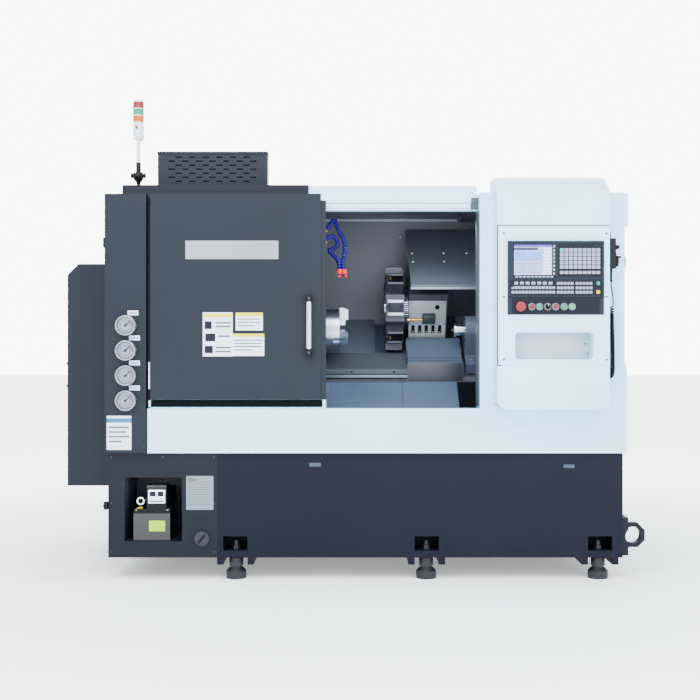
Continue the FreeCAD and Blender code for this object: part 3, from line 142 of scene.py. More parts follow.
def textured(made, tree, shader, hex_colour, roughness, grain, depth, stretch=(1, 1, 1), shift=0.06,
             spread=0.08):
    """Fine grain in the bump, and slow drifts of tone and gloss, by real sizes in metres."""
    place = add(tree, "ShaderNodeTexCoord")
    mapped = add(tree, "ShaderNodeMapping", {"Scale": stretch}, {"Vector": place.outputs["Object"]})
    fine = add(tree, "ShaderNodeTexNoise", {"Scale": 1 / grain, "Detail": 3.0},
        {"Vector": mapped.outputs["Vector"]})
    slow = add(tree, "ShaderNodeTexNoise", {"Scale": 2.2, "Detail": 2.0},
        {"Vector": place.outputs["Object"]})
    low, high = (scaled(hex_colour, 1 - shift), scaled(hex_colour, 1 + shift))
    tone = add(tree, "ShaderNodeMapRange", {"From Min": 0.3, "From Max": 0.7},
        {"Value": slow.outputs["Fac"]})
    mix = add(tree, "ShaderNodeMix", {"A": low, "B": high}, {"Factor": tone.outputs["Result"]},
        data_type="RGBA")
    gloss = add(tree, "ShaderNodeMapRange", {"From Min": 0.3, "From Max": 0.7, "To Min": max(0.02,
        roughness - spread), "To Max": min(1.0, roughness + spread)}, {"Value": fine.outputs["Fac"]})
    bump = add(tree, "ShaderNodeBump", {"Strength": 0.5, "Distance": depth},
        {"Height": fine.outputs["Fac"]})
    tree.links.new(mix.outputs["Result"], shader.inputs["Base Color"])
    tree.links.new(gloss.outputs["Result"], shader.inputs["Roughness"])
    tree.links.new(bump.outputs["Normal"], shader.inputs["Normal"])
    return made


def scaled(hex_colour, factor):
    """A colour made lighter or darker."""
    return [min(1.0, part * factor) for part in linear(hex_colour)[:3]] + [1.0]


def powder_coat(name, hex_colour, roughness=0.42, shine=0.5):
    """Powder coating on steel sheet: an even colour with a faint orange-peel skin."""
    made, tree, shader = new_material(name, hex_colour, 0.0, roughness)
    shader.inputs["IOR"].default_value = 1.5
    shader.inputs["Specular IOR Level"].default_value = shine
    return textured(made, tree, shader, hex_colour, roughness, 3 * MM, 0.12 * MM)


def brushed_steel(name, hex_colour, roughness, stretch, metallic=1.0):
    """Brushed or ground steel: hairlines along one axis; a dulled film makes it less metallic."""
    made, tree, shader = new_material(name, hex_colour, metallic, roughness)
    return textured(made, tree, shader, hex_colour, roughness, 2.5 * MM, 0.05 * MM, stretch, 0.10, 0.10)


def moulded(name, hex_colour, roughness=0.45, grain=1.2 * MM, shine=0.3):
    """Moulded ABS or rubber: a soft spark-eroded grain."""
    made, tree, shader = new_material(name, hex_colour, 0.0, roughness)
    shader.inputs["Specular IOR Level"].default_value = shine
    return textured(made, tree, shader, hex_colour, roughness, grain, 0.06 * MM, shift=0.04)


def lens(name, hex_colour, glow=0.0, transmission=0.35):
    """Tinted acrylic: glossy, lets some light through, and may be lit from inside."""
    made, tree, shader = new_material(name, hex_colour, 0.0, 0.16)
    shader.inputs["Transmission Weight"].default_value = transmission
    shader.inputs["IOR"].default_value = 1.49
    shader.inputs["Emission Color"].default_value = linear(hex_colour)
    shader.inputs["Emission Strength"].default_value = glow
    return textured(made, tree, shader, hex_colour, 0.16, 2 * MM, 0.02 * MM, shift=0.04, spread=0.04)


def studio_floor():
    """Matt white sheet under the machine, lit from below further out, as a light table is."""
    made, tree, shader = new_material("studio floor", "#f6f8f9", 0.0, 0.7)
    place = add(tree, "ShaderNodeTexCoord")
    away = add(tree, "ShaderNodeVectorMath", None, {0: place.outputs["Object"]}, operation="LENGTH")
    glow = add(tree, "ShaderNodeMapRange", {"From Min": 1.3, "From Max": 4.5, "To Min": 0.35,
        "To Max": 2.6}, {"Value": away.outputs["Value"]}, interpolation_type="SMOOTHSTEP")
    tree.links.new(glow.outputs["Result"], shader.inputs["Emission Strength"])
    shader.inputs["Emission Color"].default_value = (1, 1, 1, 1)
    return made


M = {
    # Powder coats on sheet: dark satin on the door and covers, a bluer coat on the base, cool white, and
    # trim; the base's and service cover's coats are darker than the door's, painting the shade low on the
    # machine.
    "door": powder_coat("dark powder coat", "#171d26", 0.44, 0.13),
    # Base and service cover: painted darker than the door's coat for the shade that falls low down; the
    # base's bluer tone is its own.
    "base": powder_coat("base powder coat darkened for shade", "#0e121e", 0.5, 0.09),
    "service": powder_coat("service cover coat darkened for shade", "#11171f", 0.46, 0.11),
    "lug": powder_coat("lug paint", "#12161f", 0.5, 0.12),
    "latch": powder_coat("latch paint", "#3a4354", 0.5, 0.15),
    "plug": powder_coat("plug casting", "#1c2229", 0.45, 0.3),
    "plug edge": powder_coat("plug bar", "#0b0d11", 0.5, 0.15),
    "valve": powder_coat("valve block", "#1e2a26", 0.4),
    "bracket": powder_coat("bracket paint", "#39424d", 0.5, 0.2),
    "white": powder_coat("white powder coat", "#aadcf6", 0.4, 0.35),
    # A darker white that paints the shade at the apron's fold.
    "white cover fold shade": powder_coat("painted shade at the apron fold", "#8fb4c8", 0.4),
    # A greyer copy of the white coat, painting the shade inside the tool pocket.
    "pocket": powder_coat("pocket coat painted shade", "#aab8be", 0.4),
    "seam": powder_coat("shadow gap", "#07090c", 0.8, 0.05),
    # Painted castings: machine grey over cast iron, slightly lumpy.
    "casting": powder_coat("casting enamel", "#30343b", 0.5, 0.2),
    "bed": powder_coat("bed enamel", "#3b424b", 0.45, 0.25),
    "tail": powder_coat("tailstock enamel", "#3e4556", 0.45, 0.25),
    "cream": powder_coat("cream enamel", "#808b92", 0.45),
    "motor": powder_coat("motor enamel", "#3b4048", 0.5),
    # Stainless sheet in the work area, dulled by coolant film, and bright trim; the chute's and slope's
    # sheets are lighter copies that paint the light falling on them.
    "chamber": brushed_steel("chamber stainless", "#353b45", 0.45, (1, 1, 14), 0.3),
    # Chute and slope: lighter copies of the chamber's stainless that paint the light falling on them.
    "chute": brushed_steel("chute stainless painted lit", "#44566f", 0.42, (1, 10, 1), 0.25),
    "slope": brushed_steel("slope stainless painted lit", "#656f81", 0.42, (1, 12, 1), 0.3),
    "cover": brushed_steel("way cover stainless", "#475469", 0.42, (12, 1, 1), 0.3),
    "cover front": brushed_steel("way cover front", "#1f252e", 0.42, (12, 1, 1), 0.2),
    "guard": brushed_steel("guard sheet", "#5d6674", 0.4, (1, 14, 1), 0.5),
    # Lighter strips on the rail's edge and the guard's folded lip: painted highlights.
    "ridge": brushed_steel("rail edge painted highlight", "#54606d", 0.35, (14, 1, 1), 0.5),
    "lip": brushed_steel("folded edge painted highlight", "#8f9aa6", 0.3, (14, 1, 1), 0.5),
    "bright": brushed_steel("bright stainless", "#9ba3aa", 0.3, (20, 1, 1), 0.8),
    "bright dull": brushed_steel("plain anodised plate", "#6d7680", 0.4, (12, 1, 1), 0.6),
    # Turned, ground, blackened and plated metal.
    "ground": brushed_steel("ground steel", "#b9c3d0", 0.28, (1, 12, 12)),
    "silver": brushed_steel("turned steel", "#c3ccd9", 0.25, (1, 8, 8)),
    "disc": brushed_steel("turret steel", "#30343e", 0.38, (1, 6, 6), 0.6),
    "block": brushed_steel("phosphated steel", "#2c3038", 0.42, (12, 1, 1), 0.5),
    "oxide": brushed_steel("black oxide steel", "#24272e", 0.45, (1, 1, 1)),
    "foot": brushed_steel("foot steel", "#14181e", 0.5, (1, 1, 1), 0.3),
    "screw": brushed_steel("zinc screw", "#6d757f", 0.4, (1, 1, 1), 0.7),
    "screw dark": brushed_steel("dark zinc screw", "#1d2229", 0.45, (1, 1, 1), 0.4),
    "chrome": brushed_steel("satin chrome", "#d5dade", 0.18, (1, 1, 1)),
    "rim": brushed_steel("gauge rim", "#8c98a4", 0.3, (1, 1, 1), 0.7),
    "brass": brushed_steel("brass pipe", "#c9a45c", 0.3, (8, 1, 1)),
    "handle": brushed_steel("anodised aluminium", "#c4ced8", 0.3, (1, 1, 14)),
    # Moulded plastics and rubber.
    "panel grey": moulded("grey ABS", "#1a222c", 0.5, shine=0.1),
    "panel dark": moulded("charcoal ABS", "#0c121a", 0.5, shine=0.12),
    "black": moulded("black ABS", "#07080b", 0.42, shine=0.15),
    "rubber": moulded("black rubber", "#08090b", 0.6, 0.8 * MM, 0.12),
    "rubber cord": moulded("cord jacket", "#06070a", 0.55, shine=0.15),
    "key": moulded("light key film", "#7c8497", 0.5),
    "cyan": moulded("cyan key film", "#2a9aa8", 0.45),
    "key yellow": moulded("yellow key film", "#b09a10", 0.45),
    "white plastic": moulded("white plastic", "#cfdde6", 0.4),
    "ring white": moulded("wiper ring", "#c3cfdb", 0.4),
    "tower": moulded("tower housing", "#dfe5e6", 0.4),
    "stop red": moulded("signal red plastic", "#7a0416", 0.35),
    "hose": moulded("blue acetal", "#170a5c", 0.4, shine=0.15),
    "nozzle": moulded("orange acetal", "#c82c00", 0.4, shine=0.2),
    # Printed films and inks.
    "lime": moulded("lime film", "#93c000", 0.45),
    "yellow": moulded("yellow film", "#cfc400", 0.45),
    "blue ink": moulded("blue film", "#1f6296", 0.5),
    "red ink": moulded("red film", "#c23a4a", 0.5),
    "grey ink": moulded("grey print", "#4d565f", 0.6),
    "ink": moulded("black print", "#1a1c20", 0.6),
    "white ink": moulded("white print", "#e6eaec", 0.5),
    "dial white": moulded("dial enamel", "#77838e", 0.45),
    "scale grey": moulded("dial ring print", "#59646f", 0.5),
    # Tinted acrylic, clear tank and oil, and the lit fields of the screen.
    "red button": lens("red acrylic", "#6a0216", 0.0, 0.1),
    "green button": lens("green acrylic", "#007862", 0.0, 0.1),
    "green lamp": lens("lit green acrylic", "#009a58", 0.25, 0.1),
    "red lens": lens("red lens", "#7c0024", 0.0, 0.1),
    "green lens": lens("green lens", "#00825c", 0.0, 0.1),
    "orange lens": lens("orange lens", "#b84e00", 0.0, 0.1),
    "smoky": lens("smoked polycarbonate", "#0f1215", 0.0, 0.4),
    "oil": lens("lubricating oil", "#3a3418", 0.0, 0.5),
    "screen low": lens("lit screen field", "#8093bd", 0.3, 0.0),
    "screen mid": lens("lit screen field pale", "#5f7fd0", 0.5, 0.0),
    "screen violet": lens("lit screen bar", "#33278f", 0.3, 0.0),
    "screen navy": lens("lit screen title", "#0a1040", 0.1, 0.0),
    "screen blue": lens("lit screen line", "#1d4ad0", 0.5, 0.0),
    "screen key": lens("lit screen keys", "#a9b6d2", 0.5, 0.0),
    "screen ink": lens("lit screen rows", "#2a3f86", 0.1, 0.0),
    # The sheet the machine stands on.
    "floor": studio_floor(),
}


# --- shapes ----------------------------------------------------------------------------------


def finish_piece(mesh, name, material, body="root", smooth=True, materials=()):
    """Link a finished mesh, shade it, and hang it on its body."""
    made = linked(name, mesh)
    if mesh.materials:
        mesh.materials.clear()
    for each in (material, *materials):
        mesh.materials.append(M[each])
    if smooth:
        mesh.shade_smooth()
        mesh.set_sharp_from_angle(angle=math.radians(32))
    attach(made, body)
    return made


def mesh_of(bm, name):
    """Turn a bmesh into a mesh with its faces outwards."""
    bmesh.ops.remove_doubles(bm, verts=bm.verts, dist=1e-6)
    bmesh.ops.recalc_face_normals(bm, faces=bm.faces)
    mesh = bpy.data.meshes.new(name)
    bm.to_mesh(mesh)
    bm.free()
    return mesh


def add_block(bm, low, high, edge=0.0, turn=None, steps=2, material=0):
    """A box from corner to corner with rounded edges, turned by a matrix if given."""
    low, high, edge = Vector(low) * MM, Vector(high) * MM, edge * MM
    made = bmesh.ops.create_cube(bm, size=1)["verts"]
    size, middle = high - low, (high + low) / 2
    for vert in made:
        vert.co = Vector([a * b for a, b in zip(vert.co, size)]) + middle
    faces = {face for vert in made for face in vert.link_faces}
    if edge:
        edges = list({e for vert in made for e in vert.link_edges})
        out = bmesh.ops.bevel(bm, geom=edges, offset=edge, segments=steps, profile=0.5, affect="EDGES")
        faces = set(out["faces"]) | {f for f in faces if f.is_valid}
        made = list({vert for face in faces for vert in face.verts})
    for face in faces:
        face.material_index = material
    if turn is not None:
        bmesh.ops.transform(bm, matrix=turn, verts=made)
    return made


def add_lathe(bm, profile, sides=32, turn=None, material=0, ring_shape=False):
    """A turned shape from (radius, height) points spun about Z; a ring joins last to first."""
    rings = []
    for radius, height in profile:
        points = [(radius * math.cos(2 * math.pi * i / sides), radius * math.sin(2 * math.pi * i / sides),
                   height) for i in range(sides if radius else 1)]
        rings.append([bm.verts.new(Vector(point) * MM) for point in points])
    for one, two in zip(rings, rings[1:] + rings[:1] if ring_shape else rings[1:]):
        for i in range(sides):
            j = (i + 1) % sides
            corners = ([one[0], two[j], two[i]] if len(one) == 1 else
                       [one[i], one[j], two[0]] if len(two) == 1 else
                       [one[i], one[j], two[j], two[i]])
            bm.faces.new(corners).material_index = material
    for ring, flip in ((rings[0], True), (rings[-1], False)):
        if len(ring) > 1 and not ring_shape:
            bm.faces.new(ring[::-1] if flip else ring).material_index = material
    verts = [vert for ring in rings for vert in ring]
    if turn is not None:
        bmesh.ops.transform(bm, matrix=turn, verts=verts)
    return verts


def at(x, y, z=0):
    """A matrix that moves to a place."""
    return Matrix.Translation(Vector((x, y, z)) * MM)


def toward(direction, place):
    """A matrix that takes +Z to a direction and the origin to a place."""
    turn = Vector(direction).to_track_quat("Z", "Y").to_matrix().to_4x4()
    return at(*place) @ turn


FRONT, LEFT, RIGHT = (0, -1, 0), (-1, 0, 0), (1, 0, 0)


def rounded_outline(low, high, radius, steps=5):
    """Points round a rectangle in two axes with rounded corners, anticlockwise."""
    points = []
    corners = ((high[0] - radius, high[1] - radius, 0), (low[0] + radius, high[1] - radius, 1),
               (low[0] + radius, low[1] + radius, 2), (high[0] - radius, low[1] + radius, 3))
    for across, up, quarter in corners:
        for i in range(steps + 1):
            angle = math.pi / 2 * (quarter + i / steps)
            points.append((across + radius * math.cos(angle), up + radius * math.sin(angle)))
    return points


def add_plate(bm, outline, back, front, edge=0.0, material=0):
    """A flat plate facing -Y from an outline in X and Z, with a small chamfer round its face."""
    middle = Vector((sum(p[0] for p in outline) / len(outline), sum(p[1] for p in outline) / len(outline)))
    span = Vector((max(p[0] for p in outline) - min(p[0] for p in outline),
        max(p[1] for p in outline) - min(p[1] for p in outline)))
    rings = []
    for y, inset in ((back, 0), (front + edge, 0), (front, edge)):
        ring = []
        for across, up in outline:
            x = across - inset * 2 * (across - middle.x) / span.x
            z = up - inset * 2 * (up - middle.y) / span.y
            ring.append(bm.verts.new((x * MM, y * MM, z * MM)))
        rings.append(ring)
    for one, two in zip(rings, rings[1:]):
        for i in range(len(outline)):
            j = (i + 1) % len(outline)
            bm.faces.new((one[i], one[j], two[j], two[i])).material_index = material
    bm.faces.new(rings[0][::-1]).material_index = material
    bm.faces.new(rings[-1]).material_index = material


def add_prism(bm, one, two):
    """A solid between two outlines with matching points."""
    ends = [[bm.verts.new(Vector(point) * MM) for point in points] for points in (one, two)]
    bm.faces.new(ends[0])
    bm.faces.new(ends[1][::-1])
    for i in range(len(one)):
        j = (i + 1) % len(one)
        bm.faces.new((ends[0][j], ends[0][i], ends[1][i], ends[1][j]))


# --- cords, first ----------------------------------------------------------------------------

def nurbs(name, points, radius, steps=4, sides=2):
    """One smooth open spline through its control points, with a round section if a radius is given."""
    data = bpy.data.curves.new(name, "CURVE")
    data.dimensions = "3D"
    data.resolution_u = steps
    data.bevel_depth = radius
    data.bevel_resolution = sides
    data.use_fill_caps = radius > 0
    spline = data.splines.new("NURBS")
    spline.points.add(len(points) - 1)
    for point, place in zip(spline.points, points):
        point.co = (*place, 1)
    spline.order_u = 3
    spline.use_endpoint_u = True
    return linked(name, data)


def spline_points(points, steps=12):
    """Points along the smooth spline of a route, read from a curve with no section."""
    route = nurbs("route", [[value * MM for value in point] for point in points], 0, steps)
    mesh = bpy.data.meshes.new_from_object(route.evaluated_get(bpy.context.evaluated_depsgraph_get()))
    found = [vert.co.copy() for vert in mesh.vertices]
    bpy.data.objects.remove(route)
    bpy.data.meshes.remove(mesh)
    return found


def along(points):
    """Distance from the start at each point."""
    run = [0.0]
    for one, two in zip(points, points[1:]):
        run.append(run[-1] + (two - one).length)
    return run


def walk(points, run, distance):
    """The place and heading at a distance along a line of points."""
    for i in range(len(run) - 1):
        if run[i + 1] >= distance or i == len(run) - 2:
            part = (distance - run[i]) / max(1e-9, run[i + 1] - run[i])
            return points[i].lerp(points[i + 1], part), (points[i + 1] - points[i]).normalized()


PENDANT_LEAD = [(1143, -826, 1340), (1143, -826, 1318), (1151, -828, 1276), (1152, -828, 1243)]
COIL_ROUTE = [(1146, -828, 1232), (1146, -828, 1172), (1146.5, -832, 1105), (1147.5, -831, 1046),
              (1148.5, -828, 998), (1149, -828, 951.1), (1149, -799.9, 923), (1149, -760.1, 923),
              (1149, -732, 951.1), (1148.5, -730, 1000), (1147.5, -729, 1052), (1146, -732, 1112),
              (1146, -732, 1178)]
WIRE = 6 * MM
COIL_RADIUS = 9 * MM
TURN_PITCH = 7.4 * MM
LOOSE_PITCH = 7 * MM        # added to the first turns, which hang open
LOOSE_RUN, SWELL_IN, SWELL_OUT, END_GAP = 46 * MM, 14 * MM, 22 * MM, 4 * MM
POINTS_PER_TURN = 12


def make_curly_cord():
    """The pendant's cord: a short lead, then a helix hanging in a loop back up to its gland."""
    line = spline_points(COIL_ROUTE)
    run = along(line)
    total = run[-1]
    helix, phase, distance = [], 0.0, 0.0
    side = Vector(RIGHT)
    while distance < total - END_GAP:
        place, heading = walk(line, run, distance)
        across = (side - heading * side.dot(heading)).normalized()
        other = heading.cross(across)
        # The first turns hang open, and the rest lie close together.
        loose = max(0.0, 1 - distance / LOOSE_RUN)
        swell = min(1.0, 0.55 + distance / SWELL_IN) * min(1.0, 0.3 + (total - distance) / SWELL_OUT)
        radius = COIL_RADIUS * swell
        helix.append(place + (across * math.cos(phase) + other * math.sin(phase)) * radius)
        phase += 2 * math.pi / POINTS_PER_TURN
        distance += (TURN_PITCH + LOOSE_PITCH * loose) / POINTS_PER_TURN
    end = Vector(COIL_ROUTE[-1]) * MM
    points = [Vector(p) * MM for p in PENDANT_LEAD] + helix + [end]
    cord = nurbs("pendant_cord", points, WIRE / 2, 2, 2)
    cord.data.materials.append(M["rubber"])
    length = along(spline_points([point / MM for point in points], 2))[-1]
    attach(cord, "root")
    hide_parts("cord_lead", "curly_cord")


# --- repeated parts --------------------------------------------------------------------------

def new_tree(name, **inputs):
    """An empty Geometry Nodes tree with a geometry in and out and the named inputs."""
    tree = bpy.data.node_groups.new(name, "GeometryNodeTree")
    tree.interface.new_socket("Geometry", in_out="INPUT", socket_type="NodeSocketGeometry")
    for label, kind in inputs.items():
        tree.interface.new_socket(label, in_out="INPUT", socket_type="NodeSocket" + kind)
    tree.interface.new_socket("Geometry", in_out="OUTPUT", socket_type="NodeSocketGeometry")
    return tree, tree.nodes.new("NodeGroupInput").outputs, tree.nodes.new("NodeGroupOutput").inputs


def end_tree(tree, given, out, points, facing):
    """Copies of the part on the points, realised, with their material."""
    part = add(tree, "GeometryNodeObjectInfo", {"As Instance": True}, {"Object": given["Part"]})
    placed = add(tree, "GeometryNodeInstanceOnPoints", links={"Points": points, "Rotation": facing,
        "Instance": part.outputs["Geometry"]})
    real = add(tree, "GeometryNodeRealizeInstances", links={"Geometry": placed.outputs["Instances"]})
    dressed = add(tree, "GeometryNodeSetMaterial", links={"Geometry": real.outputs["Geometry"],
        "Material": given["Material"]})
    tree.links.new(dressed.outputs["Geometry"], out["Geometry"])
    return tree


def repeat_tree():
    """Stand a copy of the part on every point of the mesh, turned alike."""
    tree, given, out = new_tree("repeat_on_points", Part="Object", Turn="Rotation", Material="Material")
    points = add(tree, "GeometryNodeMeshToPoints", {"Radius": 0.001}, {"Mesh": given["Geometry"]})
    return end_tree(tree, given, out, points.outputs["Points"], given["Turn"])


def ring_tree():
    """Stand copies of the part round a circle in the mesh's own plane, each turned outwards."""
    tree, given, out = new_tree("repeat_round_a_ring", Part="Object", Count="Int", Radius="Float",
        Sweep="Float", Start="Float", Material="Material")
    line = add(tree, "GeometryNodePoints", links={"Count": given["Count"]})
    index = add(tree, "GeometryNodeInputIndex")
    last = add(tree, "ShaderNodeMath", {1: 1.0}, {0: given["Count"]}, operation="SUBTRACT")
    part_way = add(tree, "ShaderNodeMath", links={0: index.outputs["Index"], 1: last.outputs["Value"]},
        operation="DIVIDE")
    swept = add(tree, "ShaderNodeMath", links={0: part_way.outputs["Value"], 1: given["Sweep"],
        2: given["Start"]}, operation="MULTIPLY_ADD")
    turn = add(tree, "ShaderNodeCombineXYZ", links={"Z": swept.outputs["Value"]})
    reach = add(tree, "ShaderNodeCombineXYZ", links={"X": given["Radius"]})
    spun = add(tree, "ShaderNodeVectorRotate", links={"Vector": reach.outputs["Vector"],
        "Rotation": turn.outputs["Vector"]}, rotation_type="EULER_XYZ")
    moved = add(tree, "GeometryNodeSetPosition", links={"Geometry": line.outputs["Points"],
        "Position": spun.outputs["Vector"]})
    facing = add(tree, "FunctionNodeEulerToRotation", links={"Euler": turn.outputs["Vector"]})
    return end_tree(tree, given, out, moved.outputs["Geometry"], facing.outputs["Rotation"])


def link_tree():
    """Thread copies of a hose link along a curve, each facing along it."""
    tree, given, out = new_tree("links_along_a_curve", Part="Object", Pitch="Float", Material="Material")
    points = add(tree, "GeometryNodeCurveToPoints", links={"Curve": given["Geometry"],
        "Length": given["Pitch"]}, mode="LENGTH")
    return end_tree(tree, given, out, points.outputs["Points"], points.outputs["Rotation"])


def grow(tree, base, values):
    """Run a tree on an object with its inputs set, and give back the plain mesh."""
    modifier = base.modifiers.new("grow", "NODES")
    modifier.node_group = tree
    sockets = {item.name: item.identifier for item in tree.interface.items_tree
               if item.item_type == "SOCKET" and item.in_out == "INPUT"}
    for label, value in values.items():
        modifier[sockets[label]] = value
    bpy.context.view_layer.update()
    mesh = bpy.data.meshes.new_from_object(base.evaluated_get(bpy.context.evaluated_depsgraph_get()))
    base.modifiers.remove(modifier)
    bpy.data.objects.remove(base)
    return mesh


def part_object(build):
    """A part to be repeated, built about the origin with its outside towards +Z."""
    bm = bmesh.new()
    build(bm)
    return linked("part", mesh_of(bm, "part"))


TREES = {}
TURNS = {"front": (math.pi / 2, 0, 0), "left": (0, -math.pi / 2, 0), "right": (0, math.pi / 2, 0),
         "up": (0, 0, 0), "back": (-math.pi / 2, 0, 0)}


def repeat(name, build, places, material, body="root", facing="front", smooth=True):
    """Copies of one part at places, all facing one way, as one piece."""
    part = part_object(build)
    cloud = bpy.data.meshes.new("cloud")
    cloud.from_pydata([tuple(value * MM for value in place) for place in places], [], [])
    base = linked("cloud", cloud)
    turn = TURNS[facing] if isinstance(facing, str) else facing
    mesh = grow(TREES["repeat"], base, {"Part": part, "Turn": turn, "Material": M[material]})
    bpy.data.objects.remove(part)
    return finish_piece(mesh, name, material, body, smooth)


def repeat_ring(name, build, centre, axis, count, radius, material, body="root", slot=None, sweep=360,
                start=0, smooth=True):
    """Copies of one part round a circle about an axis, turned outwards, as one piece."""
    part = part_object(build)
    base = linked("ring", bpy.data.meshes.new("ring"))
    full = sweep == 360
    step = sweep * (count - 1) / count if full else sweep
    mesh = grow(TREES["ring"], base, {"Part": part, "Count": count, "Radius": radius * MM,
        "Sweep": math.radians(step), "Start": math.radians(start), "Material": M[material]})
    bpy.data.objects.remove(part)
    mesh.transform(toward(axis, centre))
    return finish_piece(mesh, name, material, body, smooth)


def turned(profile, sides=32, turn=None, ring=False):
    """A turned shape, for single() and repeat()."""
    return lambda bm: add_lathe(bm, profile, sides, turn, ring_shape=ring)


def plate(low, high, radius, back, front, edge=0.0, steps=5):
    """A flat plate with rounded corners facing -Y, for single()."""
    return lambda bm: add_plate(bm, rounded_outline(low, high, radius, steps), back, front, edge)


def socket_screw(r, h):
    """A cap head of a radius and height, with a chamfer and a hexagon recess."""
    return turned([(r, 0), (r, h * 0.8), (r * 0.88, h), (r * 0.5, h), (r * 0.5, h * 0.45),
                   (0, h * 0.45)], 12)


def dome_screw(r, h):
    """A low domed head of a radius and height, with a recess in its middle."""
    return turned([(r, 0), (r * 0.95, h * 0.45), (r * 0.7, h * 0.85), (r * 0.35, h), (r * 0.3, h * 0.4),
                   (0, h * 0.4)], 14)


def flat_disc(radius, height=0.4):
    """A thin round plate."""
    return turned([(radius, 0), (radius, height), (0, height)], 16)


def soft_box(width, depth, height, edge, steps=2):
    """A block standing on its middle with rounded edges: width along X, depth along Y."""
    corner = (width / 2, depth / 2, height)
    return lambda bm: add_block(bm, (-width / 2, -depth / 2, 0), corner, edge, steps=steps)


def lattice(*spans):
    """Every place made of the coordinates given for X, Y and Z; a number stands for itself."""
    return list(itertools.product(*[span if hasattr(span, "__iter__") else (span,) for span in spans]))


def grid(left, right, columns, low, high, rows, y):
    """Middles of a grid of cells between edges in X and Z."""
    wide, tall = (right - left) / columns, (high - low) / rows
    return [(left + wide * (i + 0.5), y, low + tall * (j + 0.5))
            for j in range(rows) for i in range(columns)]


def single(name, build, material, body="root", smooth=True, materials=()):
    """One piece built by a function in the object's own frame."""
    bm = bmesh.new()
    build(bm)
    return finish_piece(mesh_of(bm, name), name, material, body, smooth, materials)


def block(low, high, edge=0.0, material=0):
    """A rounded block between corners, for single()."""
    return lambda bm: add_block(bm, low, high, edge, material=material)


def blocks(*items):
    """Several rounded blocks as one piece: (low, high, edge[, material])."""
    return lambda bm: [block(*item)(bm) for item in items]


def panels(back, front, edge, *rectangles):
    """Thin blocks facing -Y as one piece: each is (left, low, right, high)."""
    return blocks(*[((left, front, low), (right, back, high), edge)
                    for left, low, right, high in rectangles])


def sticker(name, left, right, low, high, fields, body="door"):
    """A label of plain colour fields: each is (left, right, low, high[, material]) in parts of 1."""
    fields = [(*field, "grey ink")[:5] for field in fields]
    names = ["white plastic"] + sorted({field[4] for field in fields})

    def build(bm):
        plate((left, low), (right, high), 1.5, FACE, FACE - 0.35, steps=3)(bm)
        for one, two, bottom, top, colour in fields:
            add_block(bm, (left + (right - left) * one, FACE - 0.5, low + (high - low) * bottom),
                (left + (right - left) * two, FACE - 0.3, low + (high - low) * top),
                material=names.index(colour))
    return single(name, build, names[0], body, False, names[1:])


# --- the CAD parts' own finishes -------------------------------------------------------------

FINISH = {
    "base": ["base_frame"], "service": ["service_housing"],
    "door": ["drive_enclosure", "gauge_column", "left_end_cover", "machine_roof", "door_panel"],
    "white": ["door_header", "front_apron", "right_housing", "control_box", "control_panel"],
    "chamber": ["chamber_liner"], "cover": ["way_cover"], "guard": ["carriage_guard"],
    "bed": ["slant_bed"], "casting": ["headstock", "saddle", "turret_slide"],
    "disc": ["turret_disc"], "block": ["tool_blocks"],
    "tail": ["tailstock_body"], "silver": ["tailstock_quill", "motor_pulley", "chuck_cylinder", "spindle"],
    "ground": ["chuck_body", "chuck_jaw_1", "chuck_jaw_2", "chuck_jaw_3"],
    "rubber": ["drive_belt"], "motor": ["spindle_motor"], "foot": ["levelling_feet"],
    "lug": ["lifting_lugs"], "panel grey": ["control_unit"], "panel dark": ["button_plate"],
    "black": ["mpg_case", "mpg_wheel", "mpg_step_knob", "mpg_axis_knob", "cord_gland", "mode_switch",
              "tower_base", "lube_pump"],
    "red button": ["emergency_stop", "push_button_1", "push_button_3"],
    "green button": ["push_button_2", "push_button_4"],
    "rim": ["gauge_cases"], "oxide": [f"gauge_needle_{n}" for n in range(1, 5)],
    "smoky": ["lube_tank"], "hose": ["coolant_hoses"], "handle": ["door_handle"],
    "tower": ["tower_light"], "rubber cord": ["cord_lead", "curly_cord"],
}


def dress_frame():
    """Give every node of the frame its material."""
    for finish, nodes in FINISH.items():
        for node in nodes:
            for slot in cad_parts[node].material_slots:
                slot.material = M[finish]


# --- door and gauge column -------------------------------------------------------------------

FACE = -710.0              # front of the door, the column and the apron


